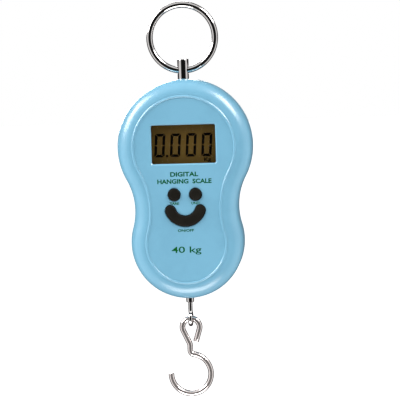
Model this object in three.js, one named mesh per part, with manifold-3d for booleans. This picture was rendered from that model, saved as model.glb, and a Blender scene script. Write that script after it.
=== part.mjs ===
// Digital hanging scale: a figure-of-eight plastic case on a load cell, with a carry ring above
// and a wire hook below. Millimetres, +Z up, front towards -Y. The origin is the point inside the
// top of the carry ring where a finger or a peg bears, and the scale hangs straight down from it.

import * as THREE from 'three';
import { mergeVertices } from 'three/addons/utils/BufferGeometryUtils.js';
import Module from 'manifold-3d';

const wasm = await Module();
wasm.setup();

// ---------------------------------------------------------------- driving dimensions

const GAP = 0.3; // clearance between neighbouring pieces
const QUARTER = Math.PI / 2;

const RING = { wire: 1.8, radius: 18.2 };
const RING_Z = -(RING.radius - RING.wire);
const RING_PIVOT_Z = RING_Z - RING.radius;

const POST = {
  radius: 3.15, above: 6.3, hole: 2.3, holeLift: 0.12, chamfer: 0.5, stud: 2.5, shoulder: 3.2, studEnd: 58.6,
};

const CASE_TOP_Z = RING_PIVOT_Z - 4.7;
const CASE = {
  height: 122, upper: 37.6, lower: 31.4, waist: 35, wall: 2, front: 14, rear: 16,
  roundDepth: 9, roundInset: 8.4, arcs: [20, 5, 16, 5], rounds: 4,
};
const UPPER_Z = CASE_TOP_Z - CASE.upper;
const LOWER_Z = CASE_TOP_Z - CASE.height + CASE.lower;
const CASE_BOTTOM_Z = CASE_TOP_Z - CASE.height;
const BEAD = { inset: 8.7, width: 1.3, height: 0.5 };

const WINDOW = { z: -75, width: 35.5, height: 21.4, corner: 1, bevel: 0.7 };
const LENS = { margin: 1.4, front: -12.7, back: -11.7 };
const HOLDER = { width: 41.4, height: 27.4, front: -11.4, back: -6.9, lip: 0.8, lipMargin: 0.8 };
const GLASS = { width: 39, height: 25, front: -10.3, back: -8.5 };
const ZEBRA = { length: 36, width: 2, offset: 11.2, front: -8.2, back: -6.9 };

const KEY = { proud: 1, flange: 1, flangeFront: -11.7, flangeBack: -10.9, hub: 1.6, hubBack: -10.8 };
const EYE_KEYS = { radius: 3.3, x: 5.9, z: -102.8 };
const SMILE = { z: -108.8, radius: 8.7, stroke: 5.6, half: 72 * Math.PI / 180 };

const SWITCH = { size: 6, front: -9.1, bore: 2.1, plunger: 1.75, plungerFront: -10.5, plungerBack: -7.9 };
const BOARD = {
  front: -6.6, back: -5, top: -60.9, shoulder: -92, bottom: -125, upperHalf: 27, lowerHalf: 16.5, corner: 2,
};
const CHIP = { z: -108, dome: [[0, 0], [4.5, 0], [4.1, 0.5], [2.6, 1], [0, 1.2]] };

const CELL = { half: 9, depth: 4, top: -50, bottom: -92, slot: 2, web: 4, eye: 3.5 };
const GAUGE = { half: 2.5, top: -67, bottom: -75 };
const NUT = { flats: 8, height: 3.6 };
const ROD = { radius: 2, top: -84 };
const NECK = { radius: 2.25, top: -157, bottom: -164.3 };
const EYE = { wire: 1.25, radius: 3.35, z: -173.4 };

const HOOK = {
  wire: 1.6, z: -173.5, loopRadius: 4.85, bowlRadius: 11.2, bowlX: -0.7, bowlDrop: 31.5,
  tailX: 2.7, tailDrop: 12.9,
  shank: [[-2.3, -11.8], [-1, -14.6], [-0.8, -17.4], [0.1, -19.6]],
};

const AAA = { radius: 5.25, length: 44.5, nub: 1.9, nubHeight: 0.8, x: 5.75, y: 9 };
const BAY = { half: 11.8, top: -98.2, bottom: -149.6, floor: 3.5, wall: 1.2, ledge: 14.1 };
const DOOR = { half: 13.3, top: -97, bottom: -150.3, thickness: 1.6, notch: 7, notchDepth: 1 };
const GRIP = { rows: 3, half: 6, drop: 5, pitch: 2.4, height: 1.1, depth: 0.5 };
const TONGUE = { x: 10.45, width: 2.1, reach: 1.7, thickness: 1, depth: 12.6, riser: 1.5, play: 2.5 };
const CONTACT = { width: 9, thickness: 0.5, front: 4.2, back: 12, wire: 0.35, wide: 3.5, narrow: 2.2, turns: 3 };
const LEAD_RADIUS = 0.6;

const CASE_SCREWS = [[-15, -55], [15, -55], [-17.3, -137], [17.3, -137]];
const CASE_SCREW = { head: 2.5, headHeight: 1.6, seat: 6, shank: 1.3, length: 13, boss: 3, well: 3 };
const BOARD_SCREWS = [[-24, -66], [24, -66], [-13.5, -121], [13.5, -121]];
const BOARD_SCREW = { head: 2, headHeight: 1.2, shank: 1, length: 6, boss: 2.3 };
const CELL_SCREWS = [[-5.5, -55], [5.5, -55]];
const CELL_SCREW = { head: 2, headHeight: 1.2, shank: 1.2, length: 13, boss: 2.6 };

const FINISHES = {
  caseBlue: { color: 0x7eb9d4, roughness: 0.36, metalness: 0 },
  keyBlack: { color: 0x16140c, roughness: 0.7, metalness: 0 },
  clearWindow: { color: 0xdfe6e4, roughness: 0.05, metalness: 0 },
  displayOlive: { color: 0x4f3a1b, roughness: 0.25, metalness: 0 },
  chrome: { color: 0xd5d3ce, roughness: 0.1, metalness: 1 },
  nickel: { color: 0xc6beb2, roughness: 0.18, metalness: 1 },
  aluminium: { color: 0xb9bcc0, roughness: 0.42, metalness: 1 },
  zincSteel: { color: 0xa9a9a4, roughness: 0.35, metalness: 1 },
  boardGreen: { color: 0x1d5a33, roughness: 0.5, metalness: 0 },
  holderBlack: { color: 0x24241f, roughness: 0.55, metalness: 0 },
  rubberGrey: { color: 0x4a4a4c, roughness: 0.8, metalness: 0 },
  epoxyBlack: { color: 0x101012, roughness: 0.3, metalness: 0 },
  gaugeAmber: { color: 0xb4772c, roughness: 0.4, metalness: 0 },
  cellJacket: { color: 0x2f3338, roughness: 0.35, metalness: 0.6 },
  wireRed: { color: 0xb3201c, roughness: 0.5, metalness: 0 },
  wireBlack: { color: 0x151515, roughness: 0.5, metalness: 0 },
  wireWhite: { color: 0xd8d6cf, roughness: 0.5, metalness: 0 },
};

// ---------------------------------------------------------------- solids and pieces

/** A closed three.js geometry as a manifold solid. */
function solid(geometry) {
  const bare = geometry.clone();
  bare.deleteAttribute('normal');
  bare.deleteAttribute('uv');
  const merged = mergeVertices(bare, 1e-4);
  return new wasm.Manifold(new wasm.Mesh({
    numProp: 3,
    vertProperties: new Float32Array(merged.attributes.position.array),
    triVerts: new Uint32Array(merged.index.array),
  }));
}

/** A manifold solid as a three.js geometry. */
function geometryOf(body) {
  const { vertProperties, triVerts } = body.getMesh();
  const geometry = new THREE.BufferGeometry();
  geometry.setAttribute('position', new THREE.BufferAttribute(vertProperties, 3));
  geometry.setIndex(new THREE.BufferAttribute(triVerts, 1));
  geometry.computeVertexNormals();
  return geometry;
}

/** Adds one named piece to a group. */
function addPiece(group, name, shape, finish, position = [0, 0, 0]) {
  const geometry = shape.isBufferGeometry ? shape : geometryOf(shape);
  const mesh = new THREE.Mesh(geometry, new THREE.MeshStandardMaterial(finish));
  mesh.name = name;
  mesh.position.set(...position);
  group.add(mesh);
  return mesh;
}

/** All of a list of solids joined. */
function join(...bodies) {
  return bodies.reduce((whole, body) => whole.add(body));
}

/** A solid with a list of cutters taken away. */
function cut(body, ...cutters) {
  return cutters.reduce((rest, cutter) => rest.subtract(cutter), body);
}

/** An axis-aligned block between two corners. */
function block([x0, y0, z0], [x1, y1, z1]) {
  const box = new THREE.BoxGeometry(x1 - x0, y1 - y0, z1 - z0);
  return solid(box.translate((x0 + x1) / 2, (y0 + y1) / 2, (z0 + z1) / 2));
}

/** A round bar along Z from z0 up to z1. */
function barZ(radius, z0, z1, x = 0, y = 0, sides = 20) {
  const bar = new THREE.CylinderGeometry(radius, radius, z1 - z0, sides).rotateX(QUARTER);
  return solid(bar.translate(x, y, (z0 + z1) / 2));
}

/** A round bar along Y from y0 to y1. */
function barY(radius, y0, y1, x, z, sides = 16) {
  const bar = new THREE.CylinderGeometry(radius, radius, y1 - y0, sides);
  return solid(bar.translate(x, (y0 + y1) / 2, z));
}

/** A round bar along X, centred on x = 0. */
function barX(radius, length, y, z, sides = 20) {
  const bar = new THREE.CylinderGeometry(radius, radius, length, sides).rotateZ(QUARTER);
  return solid(bar.translate(0, y, z));
}

/** A profile of [radius, z] pairs, lowest first, turned about the Z axis. */
function turned(profile, sides = 20) {
  const points = profile.map(([radius, z]) => new THREE.Vector2(radius, z));
  return solid(new THREE.LatheGeometry(points, sides).rotateX(QUARTER));
}

/** A flat outline in X and Z, from y = front back to y = back. */
function plate(points, front, back, holes = []) {
  const shape = new THREE.Shape(points);
  shape.holes = holes.map((hole) => new THREE.Path(hole));
  const slab = new THREE.ExtrudeGeometry(shape, { depth: back - front, bevelEnabled: false });
  return solid(slab.rotateX(QUARTER).translate(0, back, 0));
}

/** Points of a circular arc; equal ends of joined arcs are left to the caller. */
function arc(x, z, radius, from, to, steps) {
  return new THREE.EllipseCurve(x, z, radius, radius, from, to, to < from).getPoints(steps);
}

/** A closed outline from arcs that meet end to end, each shared point kept once. */
function chain(...arcs) {
  return arcs.flatMap((points) => points.slice(1));
}

/** A rounded rectangle outline centred on (x, z). */
function roundedRectangle(width, height, corner, x, z, steps = 2) {
  const right = width / 2 - corner;
  const top = height / 2 - corner;
  const centres = [[right, top], [-right, top], [-right, -top], [right, -top]];
  return centres.flatMap(([dx, dz], index) => (
    arc(x + dx, z + dz, corner, index * QUARTER, (index + 1) * QUARTER, steps)
  ));
}

/** A tube of a round section along a smooth curve through the points. */
function tube(points, radius, sides, steps) {
  const path = new THREE.CatmullRomCurve3(points.map((p) => new THREE.Vector3(...p)), false, 'centripetal');
  const section = new THREE.Shape(arc(0, 0, radius, 0, 2 * Math.PI, sides).slice(1));
  return new THREE.ExtrudeGeometry(section, { steps, extrudePath: path });
}

// ---------------------------------------------------------------- the case

/** The figure-of-eight outline, moved in by an inset: two lobes joined by hollow waist arcs. */
function caseOutline(inset) {
  const toUpper = CASE.upper + CASE.waist;
  const toLower = CASE.lower + CASE.waist;
  const spacing = UPPER_Z - LOWER_Z;
  const drop = (toUpper ** 2 - toLower ** 2 + spacing ** 2) / (2 * spacing);
  const waistX = Math.sqrt(toUpper ** 2 - drop ** 2);
  const waistZ = UPPER_Z - drop;
  const upperAngle = Math.atan2(-drop, waistX);
  const lowerAngle = Math.atan2(spacing - drop, waistX);
  const hollow = CASE.waist + inset;
  const [upperSteps, waistSteps, lowerSteps] = CASE.arcs;
  return chain(
    arc(0, UPPER_Z, CASE.upper - inset, upperAngle, Math.PI - upperAngle, upperSteps),
    arc(-waistX, waistZ, hollow, -upperAngle, -lowerAngle, waistSteps),
    arc(0, LOWER_Z, CASE.lower - inset, Math.PI - lowerAngle, 2 * Math.PI + lowerAngle, lowerSteps),
    arc(waistX, waistZ, hollow, Math.PI + lowerAngle, Math.PI + upperAngle, waistSteps),
  );
}

/** A cushion-shaped body on the outline, as deep to the front as to the back. */
function pillow(depth, inset) {
  const roundDepth = CASE.roundDepth - inset;
  const roundInset = CASE.roundInset - inset;
  const straight = 2 * (depth - CASE.roundDepth);
  const body = new THREE.ExtrudeGeometry(new THREE.Shape(caseOutline(inset)), {
    depth: straight,
    bevelThickness: roundDepth,
    bevelSize: roundInset,
    bevelOffset: -roundInset,
    bevelSegments: CASE.rounds,
  });
  return solid(body.rotateX(QUARTER).translate(0, straight / 2, 0));
}

/** One half of the hollow case, on the side of the parting plane given by side: -1 front, 1 rear. */
function coverShell(depth, side) {
  const reach = 60;
  const edge = GAP / 2;
  const [near, far] = side < 0 ? [-reach, -edge] : [edge, reach];
  const half = block([-reach, near, CASE_BOTTOM_Z - 1], [reach, far, CASE_TOP_Z + 1]);
  return pillow(depth, 0).subtract(pillow(depth, CASE.wall)).intersect(half);
}

/** The holes that the post and the eye's neck pass through. */
function loadPathHoles() {
  return [
    barZ(POST.radius + GAP, CASE_TOP_Z - 4, CASE_TOP_Z + 1),
    barZ(NECK.radius + GAP, CASE_BOTTOM_Z - 1, CASE_BOTTOM_Z + 4),
  ];
}

/** The smile key's outline, grown all round: an arc stroke with round ends. */
function smileOutline(grow) {
  const half = SMILE.stroke / 2 + grow;
  const left = -QUARTER - SMILE.half;
  const right = -QUARTER + SMILE.half;
  const leftEnd = [SMILE.radius * Math.cos(left), SMILE.z + SMILE.radius * Math.sin(left)];
  const rightEnd = [SMILE.radius * Math.cos(right), SMILE.z + SMILE.radius * Math.sin(right)];
  return chain(
    arc(0, SMILE.z, SMILE.radius + half, left, right, 12),
    arc(...rightEnd, half, right, right + Math.PI, 6),
    arc(0, SMILE.z, SMILE.radius - half, right, left, 9),
    arc(...leftEnd, half, left + Math.PI, left + 2 * Math.PI, 6),
  );
}

/** The opening for the display: a bevelled frame, the window itself and the lens's seat behind. */
function windowCutters() {
  const seat = LENS.margin + GAP;
  const { width, height, corner, bevel, z } = WINDOW;
  const face = -CASE.front;
  const opening = (grow, round) => roundedRectangle(width + 2 * grow, height + 2 * grow, round, 0, z);
  return [
    plate(opening(0, corner), face - 1, LENS.back),
    plate(opening(bevel, corner + bevel), face - 1, face + bevel / 2),
    plate(opening(seat, corner), LENS.front - GAP, LENS.back),
  ];
}

/** Front cover: panel with its raised bead, window, key holes and inside bosses. */
function frontCover() {
  const inside = -CASE.front + CASE.wall / 2;
  const bead = plate(
    caseOutline(BEAD.inset), -CASE.front - BEAD.height, inside, [caseOutline(BEAD.inset + BEAD.width)],
  );
  const caseBosses = CASE_SCREWS.map(([x, z]) => barY(CASE_SCREW.boss, inside, -GAP / 2, x, z));
  const boardBosses = BOARD_SCREWS.map(([x, z]) => (
    barY(BOARD_SCREW.boss, inside, BOARD.front - GAP, x, z, 16)
  ));
  const casePilots = CASE_SCREWS.map(([x, z]) => (
    barY(CASE_SCREW.shank + GAP, CASE_SCREW.seat - CASE_SCREW.length - 1, 1, x, z, 10)
  ));
  const boardPilots = BOARD_SCREWS.map(([x, z]) => (
    barY(BOARD_SCREW.shank + GAP, BOARD.back - BOARD_SCREW.length - GAP, BOARD.front, x, z, 10)
  ));
  const keyHoles = [-1, 1].map((side) => (
    barY(EYE_KEYS.radius + GAP, -CASE.front - 1, inside + CASE.wall, side * EYE_KEYS.x, EYE_KEYS.z, 24)
  ));
  const smileHole = plate(smileOutline(GAP), -CASE.front - 1, inside + CASE.wall);
  return cut(
    join(coverShell(CASE.front, -1), bead, ...caseBosses, ...boardBosses),
    ...casePilots, ...boardPilots, ...keyHoles, smileHole, ...windowCutters(), ...loadPathHoles(),
  );
}

/** Rear cover: shell with the battery bay, screw wells and the load cell's two posts. */
function rearCover() {
  const inside = CASE.rear - CASE.wall / 2;
  const { half, top, bottom, floor, wall, ledge } = BAY;
  const bayOuter = block(
    [-DOOR.half - wall, floor - wall, bottom - wall - TONGUE.reach],
    [DOOR.half + wall, inside, top + wall],
  );
  const bayInner = block([-half, floor, bottom], [half, ledge + 1, top]);
  const tonguePocket = block(
    [-half, TONGUE.depth - TONGUE.play, DOOR.bottom - TONGUE.reach - GAP],
    [half, ledge + GAP, bottom + 1],
  );
  const doorway = block([-DOOR.half, ledge, DOOR.bottom], [DOOR.half, CASE.rear + 1, DOOR.top]);
  const thumbNotch = barY(DOOR.notch, CASE.rear - DOOR.notchDepth, CASE.rear + 1, 0, DOOR.top, 28);
  const tabSlots = [-1, 1].map((side) => block(
    [side * AAA.x - 1.5, CONTACT.front + 2.5, top - 1],
    [side * AAA.x + 1.5, CONTACT.front + 4, top + wall + 1],
  ));
  const bosses = CASE_SCREWS.map(([x, z]) => barY(CASE_SCREW.boss, GAP / 2, inside, x, z));
  const wellWalls = CASE_SCREWS.map(([x, z]) => barY(CASE_SCREW.well + 1, CASE_SCREW.seat - 2, inside, x, z));
  const wells = CASE_SCREWS.map(([x, z]) => barY(CASE_SCREW.well, CASE_SCREW.seat - GAP, 20, x, z));
  const clearances = CASE_SCREWS.map(([x, z]) => barY(CASE_SCREW.shank + GAP, -1, CASE_SCREW.seat, x, z, 10));
  const cellPosts = CELL_SCREWS.map(([x, z]) => barY(CELL_SCREW.boss, CELL.depth + GAP, inside, x, z));
  const cellPilots = CELL_SCREWS.map(([x, z]) => (
    barY(CELL_SCREW.shank + GAP, 0, CELL_SCREW.length - CELL.depth + GAP, x, z, 10)
  ));
  return cut(
    join(coverShell(CASE.rear, 1), bayOuter, ...bosses, ...wellWalls, ...cellPosts),
    bayInner, tonguePocket, doorway, thumbNotch,
    ...tabSlots, ...wells, ...clearances, ...cellPilots, ...loadPathHoles(),
  );
}

/** Battery door: a flat panel with two tongues at its foot and grip ribs at its head. */
function batteryDoor() {
  const outer = CASE.rear;
  const top = DOOR.top - GAP;
  const foot = DOOR.bottom + GAP;
  const half = DOOR.half - GAP;
  const panel = block([-half, outer - DOOR.thickness, foot], [half, outer, top]);
  const tongues = [-1, 1].flatMap((side) => {
    const near = side * TONGUE.x - TONGUE.width / 2;
    const far = side * TONGUE.x + TONGUE.width / 2;
    return [
      block([near, TONGUE.depth, foot], [far, outer - 1, foot + TONGUE.riser]),
      block(
        [near, TONGUE.depth, DOOR.bottom - TONGUE.reach],
        [far, TONGUE.depth + TONGUE.thickness, foot + TONGUE.riser],
      ),
    ];
  });
  const grooves = Array.from({ length: GRIP.rows }, (_, row) => {
    const z = top - GRIP.drop - row * GRIP.pitch;
    return block([-GRIP.half, outer - GRIP.depth, z], [GRIP.half, outer + 1, z + GRIP.height]);
  });
  return cut(join(panel, ...tongues), ...grooves);
}

// ---------------------------------------------------------------- display, board and keys

/** Frame that holds the display glass in front of the board. */
function lcdHolder() {
  const { width, height, front, back, lip, lipMargin } = HOLDER;
  const frame = plate(roundedRectangle(width, height, 1.5, 0, WINDOW.z, 3), front, back);
  const sight = plate(
    roundedRectangle(WINDOW.width + 2 * lipMargin, WINDOW.height + 2 * lipMargin, 0.8, 0, WINDOW.z, 2),
    front - 1, back + 1,
  );
  const pocket = block(
    [-GLASS.width / 2 - GAP, front + lip, WINDOW.z - GLASS.height / 2 - GAP],
    [GLASS.width / 2 + GAP, back + 1, WINDOW.z + GLASS.height / 2 + GAP],
  );
  return cut(frame, sight, pocket);
}

/** Main board: wide behind the display, narrow behind the keys, with its screw holes. */
function mainBoard() {
  const { top, shoulder, bottom, upperHalf, lowerHalf, corner, front, back } = BOARD;
  const upperMid = (top + shoulder) / 2;
  const lowerMid = (top + bottom) / 2;
  const upper = roundedRectangle(2 * upperHalf, top - shoulder, corner, 0, upperMid, 3);
  const lower = roundedRectangle(2 * lowerHalf, top - bottom, corner, 0, lowerMid, 3);
  const holes = BOARD_SCREWS.map(([x, z]) => barY(BOARD_SCREW.shank + GAP, front - 1, back + 1, x, z, 10));
  return cut(join(plate(upper, front, back), plate(lower, front, back)), ...holes);
}

/** A key cap with its flange behind the panel and the hub that bears on its switch. */
function keyCap(face, flange, hub) {
  return join(
    plate(face, -CASE.front - KEY.proud, KEY.flangeFront + 0.1),
    plate(flange, KEY.flangeFront, KEY.flangeBack),
    hub,
  );
}

/** A board switch centred on the origin's Y axis, with a bore for its plunger. */
function switchBody() {
  const half = SWITCH.size / 2;
  const body = block([-half, SWITCH.front, -half], [half, BOARD.front - GAP, half]);
  return body.subtract(barY(SWITCH.bore, SWITCH.front - 1, SWITCH.plungerBack + 0.8, 0, 0, 16));
}

// ---------------------------------------------------------------- the load path

/** Post: a round bar with a cross hole for the ring, and a threaded stud into the load cell. */
function topPost() {
  const top = RING_PIVOT_Z + POST.above;
  const shoulder = CASE_TOP_Z - POST.shoulder;
  const bar = turned([
    [0, -POST.studEnd], [POST.stud, -POST.studEnd], [POST.stud, shoulder], [POST.radius, shoulder],
    [POST.radius, top - POST.chamfer], [POST.radius - POST.chamfer, top], [0, top],
  ]);
  return bar.subtract(barX(POST.hole, 4 * POST.radius, 0, RING_PIVOT_Z + POST.holeLift));
}

/** Hexagon lock nut around a stud, standing on z = 0. */
function lockNut(bore) {
  const corner = NUT.flats / Math.sqrt(3);
  return barZ(corner, 0, NUT.height, 0, 0, 6).subtract(barZ(bore + GAP, -1, NUT.height + 1, 0, 0, 16));
}

/** S-shaped load cell: two side slots and a double eye leave thin webs that bend. */
function loadCell() {
  const { half, depth, top, bottom, slot, web, eye } = CELL;
  const middle = (top + bottom) / 2;
  const beam = block([-half, -depth, bottom], [half, depth, top]);
  const upperSlot = block([-half - 1, -depth - 1, top - 12], [half - web, depth + 1, top - 12 + slot]);
  const lowerSlot = block([web - half, -depth - 1, bottom + 10], [half + 1, depth + 1, bottom + 10 + slot]);
  const eyes = [-eye, eye].map((dz) => barY(eye, -depth - 1, depth + 1, 0, middle + dz, 20));
  const studHole = barZ(POST.stud + GAP, -POST.studEnd - GAP, top + 1, 0, 0, 20);
  const rodHole = barZ(ROD.radius + GAP, bottom - 1, ROD.top + GAP, 0, 0, 20);
  const screwHoles = CELL_SCREWS.map(([x, z]) => barY(CELL_SCREW.shank + GAP, -depth - 1, depth + 1, x, z, 10));
  return cut(beam, upperSlot, lowerSlot, ...eyes, studHole, rodHole, ...screwHoles);
}

/** Eye bolt: a long rod down through the case, a neck in its bottom hole and a wire eye. */
function eyeBolt() {
  const rod = turned([
    [0, NECK.bottom], [NECK.radius - 0.3, NECK.bottom], [NECK.radius, NECK.bottom + 0.3],
    [NECK.radius, NECK.top], [ROD.radius, NECK.top], [ROD.radius, ROD.top], [0, ROD.top],
  ]);
  const eyeTop = EYE.z + EYE.radius;
  const shank = barZ(EYE.wire, eyeTop - 0.4, NECK.bottom + 1, 0, 0, 12);
  const loop = new THREE.TorusGeometry(EYE.radius, EYE.wire, 8, 20).rotateY(QUARTER);
  return join(rod, shank, solid(loop.translate(0, 0, EYE.z)));
}

/** Hook: one wire bent into an open loop above and a round bowl below, z = 0 at the loop's top. */
function hook() {
  const { wire, loopRadius, bowlRadius, bowlX, bowlDrop, tailX, tailDrop, shank } = HOOK;
  const degree = Math.PI / 180;
  const loop = arc(0, -loopRadius, loopRadius, -15 * degree, 200 * degree, 9);
  const bowl = arc(bowlX, -bowlDrop, bowlRadius, 70 * degree, -180 * degree, 12);
  const line = [
    [tailX, -tailDrop],
    ...loop.map(({ x, y }) => [x, y]),
    ...shank,
    ...bowl.map(({ x, y }) => [x, y]),
  ];
  return tube(line.map(([x, z]) => [x, 0, z]), wire, 10, 56);
}

// ---------------------------------------------------------------- power

/** AAA cell standing on z = 0 with its positive nub up. */
function aaaCell() {
  const { radius, length, nub, nubHeight } = AAA;
  const can = length - nubHeight;
  return turned([[0, 0], [radius, 0], [radius, can], [nub, can], [nub, length], [0, length]], 20);
}

/** A conical contact spring, its wide foot on z = 0. */
function contactSpring(height) {
  const { wire, wide, narrow, turns } = CONTACT;
  const stepsPerTurn = 9;
  const steps = turns * stepsPerTurn;
  const points = Array.from({ length: steps + 1 }, (_, step) => {
    const share = step / steps;
    const radius = wide + (narrow - wide) * share;
    const angle = 2 * Math.PI * turns * share;
    return [radius * Math.cos(angle), radius * Math.sin(angle), wire * 0.6 + (height - 1.6 * wire) * share];
  });
  return solid(tube(points, wire, 5, steps + 6));
}

/** A contact leaf against an end wall of the bay: direction 1 at the foot, -1 at the head. */
function contactLeaf(x0, x1, end, direction) {
  const inner = end + direction * CONTACT.thickness;
  return block(
    [x0, CONTACT.front, Math.min(end, inner)],
    [x1, CONTACT.back, Math.max(end, inner)],
  );
}

/** The solder tab of a head contact, through the bay's end wall. */
function contactTab(x) {
  return block(
    [x - 1.2, CONTACT.front + 2.8, BAY.top - GAP - CONTACT.thickness],
    [x + 1.2, CONTACT.front + 3.4, BAY.top + BAY.wall + 2],
  );
}

// ---------------------------------------------------------------- fasteners

/** A pan-head screw along Y: the head's underside at y = 0, the shank towards -Y. */
function panScrew({ head, headHeight, shank, length }) {
  const crown = head * 0.7;
  const profile = [
    [0, -length], [shank, 1 - length], [shank, 0], [head, 0],
    [head, headHeight * 0.6], [crown, headHeight], [0, headHeight],
  ];
  const points = profile.map(([radius, y]) => new THREE.Vector2(radius, y));
  const screw = solid(new THREE.LatheGeometry(points, 12));
  const slotHalf = head * 0.16;
  const arm = head * 0.55;
  const deep = headHeight * 0.5;
  const alongX = block([-arm, deep, -slotHalf], [arm, headHeight + 1, slotHalf]);
  const alongZ = block([-slotHalf, deep, -arm], [slotHalf, headHeight + 1, arm]);
  return screw.subtract(alongX.add(alongZ));
}

// ---------------------------------------------------------------- assembly

const group = new THREE.Group();

function buildRing() {
  const ring = new THREE.TorusGeometry(RING.radius, RING.wire, 10, 44).rotateX(QUARTER);
  addPiece(group, 'carry_ring', ring, FINISHES.chrome, [0, 0, RING_Z]);
}

function buildCase() {
  const shell = new THREE.Group();
  addPiece(shell, 'front_cover', frontCover(), FINISHES.caseBlue);
  addPiece(shell, 'rear_cover', rearCover(), FINISHES.caseBlue);
  addPiece(shell, 'battery_door', batteryDoor(), FINISHES.caseBlue);
  CASE_SCREWS.forEach(([x, z], index) => {
    addPiece(shell, `case_screw_${index + 1}`, panScrew(CASE_SCREW), FINISHES.zincSteel, [x, CASE_SCREW.seat, z]);
  });
  group.add(shell);
}

function buildDisplay() {
  const display = new THREE.Group();
  const lens = roundedRectangle(
    WINDOW.width + 2 * LENS.margin, WINDOW.height + 2 * LENS.margin, WINDOW.corner, 0, WINDOW.z,
  );
  addPiece(display, 'display_window', plate(lens, LENS.front, LENS.back), FINISHES.clearWindow);
  const glass = roundedRectangle(GLASS.width, GLASS.height, 0.4, 0, WINDOW.z, 1);
  addPiece(display, 'lcd_panel', plate(glass, GLASS.front, GLASS.back), FINISHES.displayOlive);
  addPiece(display, 'lcd_holder', lcdHolder(), FINISHES.holderBlack);
  ['lower', 'upper'].forEach((end, index) => {
    const z = WINDOW.z + (index ? 1 : -1) * ZEBRA.offset;
    const strip = block(
      [-ZEBRA.length / 2, ZEBRA.front, z - ZEBRA.width / 2],
      [ZEBRA.length / 2, ZEBRA.back, z + ZEBRA.width / 2],
    );
    addPiece(display, `zebra_strip_${end}`, strip, FINISHES.rubberGrey);
  });
  group.add(display);
}

function buildBoard() {
  const board = new THREE.Group();
  addPiece(board, 'main_board', mainBoard(), FINISHES.boardGreen);
  const chip = solid(new THREE.LatheGeometry(CHIP.dome.map(([radius, y]) => new THREE.Vector2(radius, y)), 16));
  addPiece(board, 'chip_cover', chip, FINISHES.epoxyBlack, [0, BOARD.back + GAP, CHIP.z]);
  BOARD_SCREWS.forEach(([x, z], index) => {
    const place = [x, BOARD.back + GAP, z];
    addPiece(board, `board_screw_${index + 1}`, panScrew(BOARD_SCREW), FINISHES.zincSteel, place);
  });
  group.add(board);
}

function buildKeys() {
  const keys = new THREE.Group();
  const smileLow = SMILE.z - SMILE.radius;
  [['tare', -EYE_KEYS.x], ['unit', EYE_KEYS.x]].forEach(([name, x]) => {
    const round = (radius) => arc(0, EYE_KEYS.z, radius, 0, 2 * Math.PI, 24).slice(1);
    const hub = barY(KEY.hub, KEY.flangeFront, KEY.hubBack, 0, EYE_KEYS.z, 16);
    const cap = keyCap(round(EYE_KEYS.radius), round(EYE_KEYS.radius + KEY.flange), hub);
    addPiece(keys, `${name}_key`, cap, FINISHES.keyBlack, [x, 0, 0]);
    addSwitch(keys, name, x, EYE_KEYS.z);
  });
  const smileHub = barY(KEY.hub, KEY.flangeFront, KEY.hubBack, 0, smileLow, 16);
  const smile = keyCap(smileOutline(0), smileOutline(KEY.flange), smileHub);
  addPiece(keys, 'power_key', smile, FINISHES.keyBlack);
  addSwitch(keys, 'power', 0, smileLow);
  group.add(keys);
}

function addSwitch(parent, name, x, z) {
  const plunger = barY(SWITCH.plunger, SWITCH.plungerFront, SWITCH.plungerBack, 0, 0, 16);
  addPiece(parent, `${name}_switch`, switchBody(), FINISHES.epoxyBlack, [x, 0, z]);
  addPiece(parent, `${name}_plunger`, plunger, FINISHES.rubberGrey, [x, 0, z]);
}

function buildLoadPath() {
  const path = new THREE.Group();
  addPiece(path, 'top_post', topPost(), FINISHES.chrome);
  addPiece(path, 'post_nut', lockNut(POST.stud), FINISHES.zincSteel, [0, 0, CELL.top + GAP]);
  addPiece(path, 'load_cell', loadCell(), FINISHES.aluminium);
  [['left', -1], ['right', 1]].forEach(([side, sign]) => {
    const near = sign * (CELL.half + GAP);
    const far = near + sign * GAP;
    const gauge = block(
      [Math.min(near, far), -GAUGE.half, GAUGE.bottom],
      [Math.max(near, far), GAUGE.half, GAUGE.top],
    );
    addPiece(path, `strain_gauge_${side}`, gauge, FINISHES.gaugeAmber);
  });
  CELL_SCREWS.forEach(([x, z], index) => {
    const screw = panScrew(CELL_SCREW);
    const mesh = addPiece(path, `cell_screw_${index + 1}`, screw, FINISHES.zincSteel, [x, -CELL.depth - GAP, z]);
    mesh.rotation.x = Math.PI;
  });
  addPiece(path, 'eye_nut', lockNut(ROD.radius), FINISHES.zincSteel, [0, 0, CELL.bottom - GAP - NUT.height]);
  addPiece(path, 'eye_bolt', eyeBolt(), FINISHES.chrome);
  addPiece(path, 'hook', hook(), FINISHES.nickel, [0, 0, HOOK.z]);
  group.add(path);
}

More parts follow.
